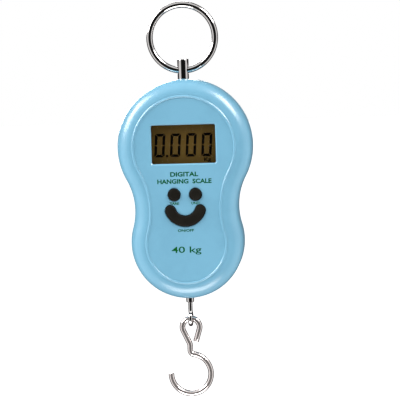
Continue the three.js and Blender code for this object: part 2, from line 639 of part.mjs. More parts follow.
function buildPower() {
  const power = new THREE.Group();
  const head = BAY.top - GAP;
  const foot = BAY.bottom + GAP;
  const inner = CONTACT.thickness;
  const half = CONTACT.width / 2;
  const play = 0.4;
  const gapAtSpring = BAY.top - BAY.bottom - 2 * (GAP + inner) - AAA.length - play;
  const springHeight = gapAtSpring - GAP;

  const leftFoot = head - inner - play - AAA.length;
  const rightFoot = foot + inner + play + AAA.length;
  addPiece(power, 'battery_left', aaaCell(), FINISHES.cellJacket, [-AAA.x, AAA.y, leftFoot]);
  const inverted = addPiece(power, 'battery_right', aaaCell(), FINISHES.cellJacket, [AAA.x, AAA.y, rightFoot]);
  inverted.rotation.x = Math.PI;

  const footSpring = contactSpring(springHeight).translate([-AAA.x, AAA.y, foot + inner]);
  const bridge = join(contactLeaf(-AAA.x - half, AAA.x + half, foot, 1), footSpring);
  addPiece(power, 'contact_bridge', bridge, FINISHES.zincSteel);

  const plus = join(contactLeaf(-AAA.x - half, -AAA.x + half, head, -1), contactTab(-AAA.x));
  addPiece(power, 'contact_positive', plus, FINISHES.zincSteel);

  const headSpring = contactSpring(springHeight).rotate([180, 0, 0]).translate([AAA.x, AAA.y, head - inner]);
  const minus = join(contactLeaf(AAA.x - half, AAA.x + half, head, -1), headSpring, contactTab(AAA.x));
  addPiece(power, 'contact_negative', minus, FINISHES.zincSteel);

  const tabTop = BAY.top + BAY.wall + 2;
  const tabY = CONTACT.front + 3.1;
  const cellLead = (side) => [
    [side * AAA.x, tabY, tabTop + 0.9], [side * 7, tabY - 1.5, tabTop + 1.6],
    [side * 9, 1, -93.5], [side * 11, -3, -94.5], [side * 11.5, BOARD.back + GAP, -96],
  ];
  const gaugeLead = [
    [10.6, 0, -75.6], [11.4, 0.2, -79], [12.6, -0.8, -83], [13.4, -3, -86], [13.6, BOARD.back + GAP, -88],
  ];
  [
    ['lead_red', FINISHES.wireRed, cellLead(-1)],
    ['lead_black', FINISHES.wireBlack, cellLead(1)],
    ['gauge_lead', FINISHES.wireWhite, gaugeLead],
  ].forEach(([name, finish, route]) => {
    addPiece(power, name, tube(route, LEAD_RADIUS, 8, 10), finish);
  });
  group.add(power);
}

buildRing();
buildCase();
buildDisplay();
buildBoard();
buildKeys();
buildLoadPath();
buildPower();

export default group;
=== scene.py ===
"""Digital hanging scale: the finished surfaces, built around the fixed CAD frame.

The frame gives every place and size. Each sub-assembly is a class that models its pieces with bmesh
operators, dresses them in procedural finishes and hands them to the CAD bodies they move with.
"""

import logging
import math
from dataclasses import dataclass, field, replace
from enum import Enum
from typing import Iterator, Sequence

import bmesh
import bpy
from mathutils import Matrix, Vector


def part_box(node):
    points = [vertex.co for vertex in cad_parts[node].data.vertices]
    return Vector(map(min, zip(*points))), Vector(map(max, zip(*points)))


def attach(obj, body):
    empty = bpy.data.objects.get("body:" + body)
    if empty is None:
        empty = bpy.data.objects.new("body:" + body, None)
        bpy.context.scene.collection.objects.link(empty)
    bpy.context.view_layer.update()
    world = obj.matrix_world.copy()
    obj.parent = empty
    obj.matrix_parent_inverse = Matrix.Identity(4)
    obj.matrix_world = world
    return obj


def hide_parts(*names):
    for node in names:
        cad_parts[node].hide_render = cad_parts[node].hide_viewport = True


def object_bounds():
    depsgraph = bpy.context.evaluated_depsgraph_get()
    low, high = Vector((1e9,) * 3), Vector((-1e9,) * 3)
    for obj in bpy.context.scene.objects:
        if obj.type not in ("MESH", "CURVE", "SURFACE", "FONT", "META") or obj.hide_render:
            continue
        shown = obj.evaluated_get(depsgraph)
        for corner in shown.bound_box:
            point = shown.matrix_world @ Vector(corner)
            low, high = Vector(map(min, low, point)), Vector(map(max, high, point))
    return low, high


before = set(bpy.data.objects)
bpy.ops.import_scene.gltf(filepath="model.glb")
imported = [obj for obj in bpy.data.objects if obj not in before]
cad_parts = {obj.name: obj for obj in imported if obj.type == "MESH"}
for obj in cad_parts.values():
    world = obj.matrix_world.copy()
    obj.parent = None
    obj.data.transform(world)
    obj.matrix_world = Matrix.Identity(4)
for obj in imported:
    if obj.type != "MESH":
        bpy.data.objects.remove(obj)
cad_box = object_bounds()

logging.basicConfig(level=logging.INFO, format="%(name)s: %(message)s")
log = logging.getLogger("scale")

MM = 0.001
TURN = 2 * math.pi
WELD = 1e-4  # vertices closer than this are one
CORNER_GAP = 10 * WELD  # arcs further apart than this are joined by a straight line
SHARP = math.radians(38)  # edges that turn more than this stay crisp
PAST = 1.0  # how far a cutter runs past the face that it opens
FILL_TURN = Matrix.Rotation(0.31, 4, "Y")
SCREW_NUMBERS = range(1, 5)

Point = tuple[float, float]
Colour = tuple[float, float, float]


class Side(Enum):
    """Which way a cover faces along the Y axis."""

    FRONT = -1
    REAR = 1


# ------------------------------------------------------------------ outlines and mesh making


def quarter(steps: int) -> list[float]:
    """The angles that divide a quarter turn into equal steps, with both ends."""
    return [TURN / 4 * step / steps for step in range(steps + 1)]


@dataclass(frozen=True)
class Arc:
    """A round stretch of an outline in the XZ plane; a positive sweep is anticlockwise from the front."""

    x: float
    z: float
    radius: float
    start: float
    sweep: float
    steps: int

    @property
    def first(self) -> Point:
        """Where the arc starts."""
        return (self.x + self.radius * math.cos(self.start), self.z + self.radius * math.sin(self.start))

    def offset(self, distance: float) -> "Arc":
        """The arc moved outwards from the outline that it belongs to."""
        grow = distance if self.sweep > 0 else -distance
        return replace(self, radius=self.radius + grow)


@dataclass(frozen=True)
class Outline:
    """A closed outline of arcs in order, with straight lines wherever two arcs don't meet."""

    arcs: tuple[Arc, ...]

    @staticmethod
    def circle(x: float, z: float, radius: float, steps: int) -> "Outline":
        """A full circle."""
        return Outline((Arc(x, z, radius, 0.0, TURN, steps),))

    @staticmethod
    def rectangle(
        x: float, z: float, width: float, height: float, corner: float, steps: int = 6
    ) -> "Outline":
        """A rectangle with round corners.

        Args:
            x: Where its centre lies across.
            z: Where its centre lies in height.
            width: Its full width.
            height: Its full height.
            corner: The corners' radius.
            steps: How many steps round a corner.

        Returns:
            The outline.
        """
        across, up = width / 2 - corner, height / 2 - corner
        places = ((across, up), (-across, up), (-across, -up), (across, -up))
        return Outline(tuple(
            Arc(x + dx, z + dz, corner, index * TURN / 4, TURN / 4, steps)
            for index, (dx, dz) in enumerate(places)
        ))

    def offset(self, distance: float) -> "Outline":
        """The outline grown all round by a distance, or shrunk by a negative one."""
        return Outline(tuple(arc.offset(distance) for arc in self.arcs))

    def draw(self, bm: bmesh.types.BMesh, y: float) -> list[bmesh.types.BMEdge]:
        """Spins the outline as a loop of edges.

        Args:
            bm: The mesh that takes the loop.
            y: The depth at which it lies.

        Returns:
            The loop's edges.
        """
        sketch = bmesh.new()
        first = tip = sketch.verts.new((self.arcs[0].first[0], y, self.arcs[0].first[1]))
        for arc in self.arcs:
            start = Vector((arc.first[0], y, arc.first[1]))
            if (tip.co - start).length > CORNER_GAP:
                corner = sketch.verts.new(start)
                sketch.edges.new((tip, corner))
                tip = corner
            spun = bmesh.ops.spin(
                sketch, geom=[tip], cent=(arc.x, y, arc.z), axis=(0, -1, 0), dvec=(0, 0, 0),
                angle=arc.sweep, steps=arc.steps, use_duplicate=False,
            )
            tip = next(item for item in spun["geom_last"] if isinstance(item, bmesh.types.BMVert))
        if (tip.co - first.co).length > CORNER_GAP:
            sketch.edges.new((tip, first))
        else:
            bmesh.ops.weld_verts(sketch, targetmap={tip: first})
        known = set(bm.edges)
        loop = bpy.data.meshes.new("outline")
        sketch.to_mesh(loop)
        sketch.free()
        bm.from_mesh(loop)
        bpy.data.meshes.remove(loop)
        return [edge for edge in bm.edges if edge not in known]


def bridge(bm: bmesh.types.BMesh, one: list, other: list) -> None:
    """Joins two loops of edges with a band of faces."""
    bmesh.ops.bridge_loops(bm, edges=[*one, *other])


def loft(bm: bmesh.types.BMesh, outline: Outline, rings: Sequence[Point], side: Side) -> tuple[list, list]:
    """Bands of faces between copies of an outline.

    Args:
        bm: The mesh that takes the bands.
        outline: The outline that every ring follows.
        rings: (offset, reach) of each ring: how far it is grown, and how far from the parting plane it lies.
        side: The side of the parting plane.

    Returns:
        The first ring's edges and the last ring's edges.
    """
    loops = [outline.offset(grow).draw(bm, side.value * reach) for grow, reach in rings]
    reaches = [reach for _, reach in rings]
    for one, other, step in zip(loops, loops[1:], (b - a for a, b in zip(reaches, reaches[1:]))):
        # Rings in one plane are bridged a little apart, or the band may come out crossed.
        apart = Vector((0, 0 if step else side.value, 0))
        moved = list({vert for edge in other for vert in edge.verts})
        bmesh.ops.translate(bm, verts=moved, vec=apart)
        bridge(bm, one, other)
        bmesh.ops.translate(bm, verts=moved, vec=-apart)
    return loops[0], loops[-1]


def fill(bm: bmesh.types.BMesh, *loops: list) -> None:
    """Lays a flat face inside the first loop, open inside the others.

    Args:
        bm: The mesh that takes the face.
        loops: The edges of its rim, and then of each opening in it.
    """
    edges = [edge for loop in loops for edge in loop]
    # Filling is done turned a little, so that no two corners are level with each other.
    bmesh.ops.transform(bm, matrix=FILL_TURN, verts=bm.verts)
    bmesh.ops.triangle_fill(bm, use_beauty=True, use_dissolve=False, edges=edges, normal=(0, -1, 0))
    bmesh.ops.transform(bm, matrix=FILL_TURN.inverted(), verts=bm.verts)


def edge_round(radius: float, reach: float, steps: int = 4) -> list[Point]:
    """Rings that round an opening's edge, from the face at reach into the opening."""
    turns = quarter(steps)
    return [(radius * (1 - math.sin(turn)), reach - radius * (1 - math.cos(turn))) for turn in turns]


def spin_profile(
    bm: bmesh.types.BMesh, profile: Sequence[Point], centre: Vector, axis: Vector, steps: int
) -> None:
    """Turns a profile into a closed round body.

    Args:
        bm: The mesh that takes the body.
        profile: (radius, height) pairs along the axis; the first and last lie on it.
        centre: The point where the height is zero.
        axis: The unit vector along which height grows.
        steps: How many steps make the full turn.
    """
    across = axis.orthogonal().normalized()
    verts = [bm.verts.new(centre + across * radius + axis * height) for radius, height in profile]
    edges = [bm.edges.new(pair) for pair in zip(verts, verts[1:])]
    bmesh.ops.spin(
        bm, geom=[*verts, *edges], cent=centre, axis=axis, dvec=(0, 0, 0), angle=TURN,
        steps=steps, use_merge=True, use_duplicate=False,
    )


@dataclass
class WireForm:
    """A round wire, formed as a bender forms it: straight runs and turns, one after another."""

    bm: bmesh.types.BMesh
    radius: float
    place: Vector
    heading: Vector
    normal: Vector
    sides: int = 20
    crown: float = 0.25
    section: list = field(default_factory=list)

    def start(self) -> "WireForm":
        """Makes the wire's first end, slightly rounded at its rim."""
        self._cap(-1)
        return self

    def straight(self, length: float) -> "WireForm":
        """Runs the wire straight on.

        Args:
            length: How far it runs.

        Returns:
            The wire.
        """
        grown = bmesh.ops.extrude_edge_only(self.bm, edges=self.section)["geom"]
        verts = [item for item in grown if isinstance(item, bmesh.types.BMVert)]
        edges = [item for item in grown if isinstance(item, bmesh.types.BMEdge)]
        self.section = [edge for edge in edges if all(vert in verts for vert in edge.verts)]
        bmesh.ops.translate(self.bm, verts=verts, vec=self.heading * length)
        self.place = self.place + self.heading * length
        return self

    def turn(self, radius: float, angle: float, steps: int) -> "WireForm":
        """Bends the wire in its plane, to the left of its heading when the angle is positive.

        Args:
            radius: The bend's radius at the wire's centre.
            angle: How far the heading turns, in radians.
            steps: How many sections the bend has.

        Returns:
            The wire.
        """
        left = self.normal.cross(self.heading).normalized()
        centre = self.place + left * (radius if angle > 0 else -radius)
        spun = bmesh.ops.spin(
            self.bm, geom=self.section, cent=centre, axis=self.normal, dvec=(0, 0, 0), angle=angle,
            steps=steps, use_duplicate=False,
        )
        self.section = [item for item in spun["geom_last"] if isinstance(item, bmesh.types.BMEdge)]
        swing = Matrix.Rotation(angle, 3, self.normal)
        self.place = centre + swing @ (self.place - centre)
        self.heading = swing @ self.heading
        return self

    def finish(self) -> "WireForm":
        """Closes the wire's last end, slightly rounded at its rim."""
        self._cap(1)
        return self

    def _cap(self, direction: int) -> None:
        """Closes one end with a rounded rim.

        Args:
            direction: -1 at the wire's first end and 1 at its last.
        """
        rim = self.crown * self.radius
        stages = [(self.radius - rim * (1 - math.cos(turn)), rim * math.sin(turn)) for turn in quarter(2)]
        turned = self.heading.to_track_quat("Z", "Y").to_matrix().to_4x4()
        if direction < 0:
            loops = [
                self._ring(size, self.place + self.heading * (rim - deep), turned) for size, deep in stages
            ]
            self.section = loops[0]
            self.place = self.place + self.heading * rim
        else:
            ends = [self._ring(size, self.place + self.heading * deep, turned) for size, deep in stages[1:]]
            loops = [self.section, *ends]
        for one, other in zip(loops, loops[1:]):
            bridge(self.bm, one, other)
        bmesh.ops.contextual_create(self.bm, geom=loops[-1])

    def _ring(self, radius: float, place: Vector, turned: Matrix) -> list:
        """Draws a circle across the wire.

        Args:
            radius: The circle's radius.
            place: Its centre.
            turned: The turn that lays it across the wire.

        Returns:
            The circle's edges.
        """
        known = set(self.bm.edges)
        bmesh.ops.create_circle(
            self.bm, cap_ends=False, segments=self.sides, radius=radius,
            matrix=Matrix.Translation(place) @ turned,
        )
        return [edge for edge in self.bm.edges if edge not in known]


def add_block(
    bm: bmesh.types.BMesh, low: Sequence[float], high: Sequence[float], bevel: float = 0.0
) -> None:
    """Adds a block between two corners.

    Args:
        bm: The mesh that takes the block.
        low: Its lowest corner.
        high: Its highest corner.
        bevel: How wide its edges are chamfered; none by default.
    """
    low_corner, high_corner = Vector(low), Vector(high)
    size = high_corner - low_corner
    place = Matrix.Translation((low_corner + high_corner) / 2) @ Matrix.Diagonal((*size, 1))
    made = bmesh.ops.create_cube(bm, size=1, matrix=place)
    if bevel:
        edges = {edge for vert in made["verts"] for edge in vert.link_edges}
        bmesh.ops.bevel(
            bm, geom=list(edges), offset=bevel, offset_type="OFFSET", affect="EDGES", segments=1,
            profile=0.5, material=-1,
        )


def add_bar(bm: bmesh.types.BMesh, start: Vector, end: Vector, radius: float, sides: int = 48) -> None:
    """Adds a plain round bar between two points.

    Args:
        bm: The mesh that takes the bar.
        start: One end's centre.
        end: The other end's centre.
        radius: Its radius.
        sides: How many sides it has.
    """
    axis = end - start
    turned = axis.to_track_quat("Z", "Y").to_matrix().to_4x4()
    bmesh.ops.create_cone(
        bm, cap_ends=True, segments=sides, radius1=radius, radius2=radius, depth=axis.length,
        matrix=Matrix.Translation((start + end) / 2) @ turned,
    )


def smooth_by_angle(mesh: bpy.types.Mesh) -> None:
    """Shades a mesh smooth, with crisp edges where faces meet at more than the sharp angle.

    Args:
        mesh: The mesh to shade.
    """
    bm = bmesh.new()
    bm.from_mesh(mesh)
    for face in bm.faces:
        face.smooth = True
    for edge in bm.edges:
        edge.smooth = not edge.is_manifold or edge.calc_face_angle(0.0) < SHARP
    bm.to_mesh(mesh)
    bm.free()


def shells(bm: bmesh.types.BMesh) -> Iterator[list]:
    """Parts a mesh into its separate shells.

    Args:
        bm: The mesh.

    Yields:
        One shell's faces at a time.
    """
    left = set(bm.faces)
    while left:
        shell = [left.pop()]
        for face in shell:
            for neighbour in (other for edge in face.edges for other in edge.link_faces):
                if neighbour in left:
                    left.remove(neighbour)
                    shell.append(neighbour)
        yield shell


def face_outwards(bm: bmesh.types.BMesh) -> None:
    """Turns every closed shell so that its faces look outwards.

    Args:
        bm: A mesh of closed shells.
    """
    for shell in list(shells(bm)):
        bmesh.ops.recalc_face_normals(bm, faces=shell)
        volume = sum(face.calc_center_median().dot(face.normal) * face.calc_area() for face in shell)
        if volume < 0:
            bmesh.ops.reverse_faces(bm, faces=shell)


def to_object(bm: bmesh.types.BMesh, name: str) -> bpy.types.Object:
    """Finishes a mesh and places it in the scene.

    Args:
        bm: The closed mesh, in millimetres; it is freed.
        name: The object's name.

    Returns:
        The new object, at the origin.
    """
    bmesh.ops.remove_doubles(bm, verts=bm.verts, dist=WELD)
    face_outwards(bm)
    bmesh.ops.scale(bm, vec=Vector.Fill(3, MM), verts=bm.verts)
    mesh = bpy.data.meshes.new(name)
    bm.to_mesh(mesh)
    bm.free()
    smooth_by_angle(mesh)
    piece = bpy.data.objects.new(name, mesh)
    bpy.context.scene.collection.objects.link(piece)
    return piece


class Work(Enum):
    """What a set of tool shapes does to a piece."""

    CUT = "DIFFERENCE"
    JOIN = "UNION"


def apply_tools(piece: bpy.types.Object, tools: bmesh.types.BMesh, work: Work) -> None:
    """Cuts closed shapes out of a piece or joins them to it, and keeps the result as its mesh.

    Args:
        piece: The piece to work on.
        tools: A mesh of closed shapes that don't touch each other; it is freed.
        work: What the shapes do.
    """
    tool = to_object(tools, f"{piece.name}_tool")
    modifier = piece.modifiers.new("work", "BOOLEAN")
    modifier.operation = work.value
    modifier.solver = "EXACT"
    modifier.object = tool
    graph = bpy.context.evaluated_depsgraph_get()
    worked = bpy.data.meshes.new_from_object(piece.evaluated_get(graph))
    piece.modifiers.clear()
    piece.data = worked
    smooth_by_angle(worked)
    bpy.data.objects.remove(tool)


def box(node: str) -> tuple[Vector, Vector]:
    """A CAD node's lowest and highest corners, in millimetres."""
    low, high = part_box(node)
    return low / MM, high / MM


# ------------------------------------------------------------------ finishes


class EffectGroups:
    """Shader node groups that several finishes share, each built once."""

    coarse_share: float = 0.12
    scratch_start: float = 0.63
    scratch_full: float = 0.7

    def __init__(self) -> None:
        """Builds every group."""
        self.grain = self._grain()
        self.marks = self._marks()
        self.scratches = self._scratches()

    @staticmethod
    def _group(
        name: str, inputs: dict[str, float], output: str
    ) -> tuple[bpy.types.NodeTree, bpy.types.Node, bpy.types.Node]:
        """Starts a group with a vector input, value inputs and one value output.

        Args:
            name: The group's name.
            inputs: Its value inputs and what they hold by default.
            output: Its output's name.

        Returns:
            The group, its input node and its output node.
        """
        tree = bpy.data.node_groups.new(name, "ShaderNodeTree")
        tree.interface.new_socket("Vector", in_out="INPUT", socket_type="NodeSocketVector")
        for label, value in inputs.items():
            socket = tree.interface.new_socket(label, in_out="INPUT", socket_type="NodeSocketFloat")
            socket.default_value = value
        tree.interface.new_socket(output, in_out="OUTPUT", socket_type="NodeSocketFloat")
        source = tree.nodes.new("NodeGroupInput")
        sink = tree.nodes.new("NodeGroupOutput")
        return tree, source, sink

    def _grain(self) -> bpy.types.NodeTree:
        """Fine moulded texture: two scales of noise blended together.

        Returns:
            The group.
        """
        tree, source, sink = self._group("moulded_grain", {"Scale": 2500.0, "Coarse": 0.35}, "Height")
        fine = tree.nodes.new("ShaderNodeTexNoise")
        fine.inputs["Detail"].default_value = 2.0
        coarse = tree.nodes.new("ShaderNodeTexNoise")
        coarse.inputs["Detail"].default_value = 1.0
        slower = tree.nodes.new("ShaderNodeMath")
        slower.operation = "MULTIPLY"
        slower.inputs[1].default_value = self.coarse_share
        blend = tree.nodes.new("ShaderNodeMix")
        tree.links.new(source.outputs["Vector"], fine.inputs["Vector"])
        tree.links.new(source.outputs["Vector"], coarse.inputs["Vector"])
        tree.links.new(source.outputs["Scale"], fine.inputs["Scale"])
        tree.links.new(source.outputs["Scale"], slower.inputs[0])
        tree.links.new(slower.outputs[0], coarse.inputs["Scale"])
        tree.links.new(source.outputs["Coarse"], blend.inputs[0])
        tree.links.new(fine.outputs["Fac"], blend.inputs[2])
        tree.links.new(coarse.outputs["Fac"], blend.inputs[3])
        tree.links.new(blend.outputs[0], sink.inputs["Height"])
        return tree

    def _marks(self) -> bpy.types.NodeTree:
        """Soft patches left by handling: a slow noise, sharpened a little.

        Returns:
            The group.
        """
        tree, source, sink = self._group("handling_marks", {"Scale": 60.0, "Low": 0.4, "High": 0.7}, "Mask")
        noise = tree.nodes.new("ShaderNodeTexNoise")
        noise.inputs["Detail"].default_value = 5.0
        noise.inputs["Roughness"].default_value = 0.6
        spread = tree.nodes.new("ShaderNodeMapRange")
        spread.interpolation_type = "SMOOTHSTEP"
        tree.links.new(source.outputs["Vector"], noise.inputs["Vector"])
        tree.links.new(source.outputs["Scale"], noise.inputs["Scale"])
        tree.links.new(noise.outputs["Fac"], spread.inputs["Value"])
        tree.links.new(source.outputs["Low"], spread.inputs["From Min"])
        tree.links.new(source.outputs["High"], spread.inputs["From Max"])
        tree.links.new(spread.outputs["Result"], sink.inputs["Mask"])
        return tree

    def _scratches(self) -> bpy.types.NodeTree:
        """Fine scratches: the thin crests of noise that is stretched in two directions.

        Returns:
            The group.
        """
        tree, source, sink = self._group("fine_scratches", {"Scale": 260.0}, "Mask")
        masks = []
        for stretch, turn in (((1.0, 14.0, 9.0), 0.5), ((11.0, 1.2, 13.0), -0.35)):
            mapping = tree.nodes.new("ShaderNodeMapping")
            mapping.inputs["Scale"].default_value = stretch
            mapping.inputs["Rotation"].default_value = (turn, turn, turn)
            noise = tree.nodes.new("ShaderNodeTexNoise")
            noise.inputs["Detail"].default_value = 3.0
            edge = tree.nodes.new("ShaderNodeMapRange")
            edge.inputs["From Min"].default_value = self.scratch_start
            edge.inputs["From Max"].default_value = self.scratch_full
            tree.links.new(source.outputs["Vector"], mapping.inputs["Vector"])
            tree.links.new(mapping.outputs["Vector"], noise.inputs["Vector"])
            tree.links.new(source.outputs["Scale"], noise.inputs["Scale"])
            tree.links.new(noise.outputs["Fac"], edge.inputs["Value"])
            masks.append(edge)
        both = tree.nodes.new("ShaderNodeMath")
        both.operation = "MAXIMUM"
        tree.links.new(masks[0].outputs["Result"], both.inputs[0])
        tree.links.new(masks[1].outputs["Result"], both.inputs[1])
        tree.links.new(both.outputs[0], sink.inputs["Mask"])
        return tree


class Coat:
    """One material under construction: its Principled shader and the links that feed it."""

    def __init__(self, name: str) -> None:
        """Starts a material with a bare Principled shader.

        Args:
            name: The material's name.
        """
        self.material = bpy.data.materials.new(name)
        self.material.use_nodes = True
        self.tree = self.material.node_tree
        self.shader = next(node for node in self.tree.nodes if node.type == "BSDF_PRINCIPLED")
        self.output = next(node for node in self.tree.nodes if node.type == "OUTPUT_MATERIAL")
        self.coordinates = self.tree.nodes.new("ShaderNodeTexCoord")

    def set(self, **values: float | Colour) -> "Coat":
        """Sets shader sockets, named with underscores for spaces.

        Args:
            values: What each socket holds, by its name in small letters.

        Returns:
            The coat.
        """
        for key, value in values.items():
            socket = self.shader.inputs[key.replace("_", " ").title().replace("Ior", "IOR")]
            socket.default_value = (*value, 1.0) if isinstance(value, tuple) else value
        return self

    def effect(self, group: bpy.types.NodeTree, **values: float) -> bpy.types.NodeSocket:
        """Places a shared effect on the piece's own coordinates.

        Args:
            group: The effect's group.
            values: What its inputs hold, where that isn't the default.

        Returns:
            The effect's output.
        """
        node = self.tree.nodes.new("ShaderNodeGroup")
        node.node_tree = group
        for key, value in values.items():
            node.inputs[key.title()].default_value = value
        self.tree.links.new(self.coordinates.outputs["Object"], node.inputs["Vector"])
        return node.outputs[0]

    def spread(self, source: bpy.types.NodeSocket, low: float, high: float) -> bpy.types.NodeSocket:
        """Spreads a value between two others.

        Args:
            source: The value, from 0 to 1.
            low: What 0 becomes.
            high: What 1 becomes.

        Returns:
            The spread value.
        """
        node = self.tree.nodes.new("ShaderNodeMapRange")
        node.inputs["To Min"].default_value = low
        node.inputs["To Max"].default_value = high
        self.tree.links.new(source, node.inputs["Value"])
        return node.outputs["Result"]

    def mix(self, mask: bpy.types.NodeSocket, one: Colour, other: Colour) -> bpy.types.NodeSocket:
        """Mixes two colours with a mask.

        Args:
            mask: The mask, from 0 to 1.
            one: The colour where it is 0.
            other: The colour where it is 1.

        Returns:
            The mixed colour.
        """
        node = self.tree.nodes.new("ShaderNodeMix")
        node.data_type = "RGBA"
        node.inputs[6].default_value = (*one, 1.0)
        node.inputs[7].default_value = (*other, 1.0)
        self.tree.links.new(mask, node.inputs[0])
        return node.outputs[2]

    def painted_dark_rim(
        self, colour: bpy.types.NodeSocket, edge: Colour, start: float, full: float
    ) -> bpy.types.NodeSocket:
        """Paints a dark reflection where the surface turns away from the eye: the colour turns into another
        there.

        Args:
            colour: The colour seen face on.
            edge: The painted dark reflection's colour, seen edge on.
            start: How far the surface has turned away, 0 to 1, where the change starts.
            full: How far it has turned where the change is complete.

        Returns:
            The changing colour.
        """
        weight = self.tree.nodes.new("ShaderNodeLayerWeight")
        turned = self.tree.nodes.new("ShaderNodeMapRange")
        turned.interpolation_type = "SMOOTHSTEP"
        turned.inputs["From Min"].default_value = start
        turned.inputs["From Max"].default_value = full
        node = self.tree.nodes.new("ShaderNodeMix")
        node.data_type = "RGBA"
        node.inputs[7].default_value = (*edge, 1.0)
        self.tree.links.new(weight.outputs["Facing"], turned.inputs["Value"])
        self.tree.links.new(turned.outputs["Result"], node.inputs[0])
        self.tree.links.new(colour, node.inputs[6])
        return node.outputs[2]

    def feed(self, name: str, source: bpy.types.NodeSocket) -> "Coat":
        """Links a varying value to a shader socket."""
        self.tree.links.new(source, self.shader.inputs[name])
        return self

    def bump(self, height: bpy.types.NodeSocket, depth: float, strength: float = 1.0) -> "Coat":
        """Adds fine relief.

        Args:
            height: The relief's height, from 0 to 1.
            depth: How deep it is, in metres.
            strength: How much of it shows.

        Returns:
            The coat.
        """
        node = self.tree.nodes.new("ShaderNodeBump")
        node.inputs["Strength"].default_value = strength
        node.inputs["Distance"].default_value = depth
        self.tree.links.new(height, node.inputs["Height"])
        self.tree.links.new(node.outputs["Normal"], self.shader.inputs["Normal"])
        return self


def channel_light(value: int) -> float:
    """One channel of a screen colour, 0 to 255, as linear light."""
    share = value / 255
    return share / 12.92 if share <= 0.04045 else ((share + 0.055) / 1.055) ** 2.4


def linear(red: int, green: int, blue: int) -> Colour:
    """A screen colour of 0 to 255 as linear light."""
    return (channel_light(red), channel_light(green), channel_light(blue))


@dataclass(frozen=True)
class Plastic:
    """Moulded plastic or rubber: colour, gloss, grain and handling marks."""

    name: str
    colour: Colour
    shade: Colour
    roughness: tuple[float, float]
    grain: float = 3e-6
    grain_scale: float = 2600.0
    coat: float = 0.0
    coat_roughness: float = 0.24
    shine: float = 0.5

    def material(self, effects: EffectGroups) -> bpy.types.Material:
        """Builds the material.

        Args:
            effects: The shared effects.

        Returns:
            The material.
        """
        coat = Coat(self.name)
        grain = coat.effect(effects.grain, scale=self.grain_scale)
        marks = coat.effect(effects.marks, scale=55.0)
        coat.feed("Base Color", coat.mix(marks, self.colour, self.shade))
        coat.feed("Roughness", coat.spread(marks, *self.roughness))
        coat.bump(grain, self.grain)
        coat.set(coat_weight=self.coat, coat_roughness=self.coat_roughness)
        coat.set(specular_ior_level=self.shine)
        return coat.material


@dataclass(frozen=True)
class Metal:
    """Plated or machined metal: colour, polish, fine scratches, dull patches and an optional painted dark
    reflection at its rim.
    """

    name: str
    colour: Colour
    dull: Colour
    roughness: tuple[float, float]
    scratch_depth: float = 2e-6
    # The painted dark reflection's colour towards the silhouette, if any.
    edge: Colour | None = None
    painted_rim_span: Point = (0.2, 0.45)
    metallic: float = 1.0

    def material(self, effects: EffectGroups) -> bpy.types.Material:
        """Builds the material.

        Args:
            effects: The shared effects.

        Returns:
            The material.
        """
        coat = Coat(self.name)
        marks = coat.effect(effects.marks, scale=140.0, low=0.45, high=0.75)
        scratches = coat.effect(effects.scratches)
        coat.set(metallic=self.metallic)
        colour = coat.mix(marks, self.colour, self.dull)
        # Painted reflection: the colour darkens where the surface turns away from the eye, standing in for
        # dark surroundings seen in the metal.
        if self.edge:
            colour = coat.painted_dark_rim(colour, self.edge, *self.painted_rim_span)
        coat.feed("Base Color", colour)
        coat.feed("Roughness", coat.spread(marks, *self.roughness))
        coat.bump(scratches, self.scratch_depth, 0.35)
        return coat.material


@dataclass(frozen=True)
class ClearWindow:
    """Clear moulded window: thin, polished and lightly marked; light passes it to what lies behind."""

    name: str = "window_clear"

    def material(self, effects: EffectGroups) -> bpy.types.Material:
        """Builds the material.

        Args:
            effects: The shared effects.

        Returns:
            The material.
        """
        coat = Coat(self.name)
        marks = coat.effect(effects.marks, scale=90.0)
        coat.set(base_color=(0.93, 0.96, 0.95), transmission_weight=1.0, ior=1.46)
        coat.feed("Roughness", coat.spread(marks, 0.015, 0.05))
        through = coat.tree.nodes.new("ShaderNodeBsdfTransparent")
        path = coat.tree.nodes.new("ShaderNodeLightPath")
        blend = coat.tree.nodes.new("ShaderNodeMixShader")
        passing = coat.tree.nodes.new("ShaderNodeMath")
        passing.operation = "MAXIMUM"
        coat.tree.links.new(path.outputs["Is Shadow Ray"], passing.inputs[0])
        coat.tree.links.new(path.outputs["Is Diffuse Ray"], passing.inputs[1])
        coat.tree.links.new(passing.outputs[0], blend.inputs[0])
        coat.tree.links.new(coat.shader.outputs[0], blend.inputs[1])
        coat.tree.links.new(through.outputs[0], blend.inputs[2])
        coat.tree.links.new(blend.outputs[0], coat.output.inputs["Surface"])
        return coat.material


@dataclass(frozen=True)
class DisplayGlass:
    """Reflective display: an olive film with soft patches of a darker olive, under fine speckle."""

    name: str = "display_olive"
    colour: Colour = linear(84, 65, 29)
    rim: Colour = linear(75, 56, 24)

    def material(self, effects: EffectGroups) -> bpy.types.Material:
        """Builds the material.

        Args:
            effects: The shared effects.

        Returns:
            The material.
        """
        coat = Coat(self.name)
        speckle = coat.effect(effects.grain, scale=3200.0, coarse=0.5)
        marks = coat.effect(effects.marks, scale=45.0, low=0.35, high=0.75)
        coat.feed("Base Color", coat.mix(marks, self.colour, self.rim))
        coat.feed("Roughness", coat.spread(speckle, 0.35, 0.55))
        coat.set(specular_ior_level=0.05)
        return coat.material


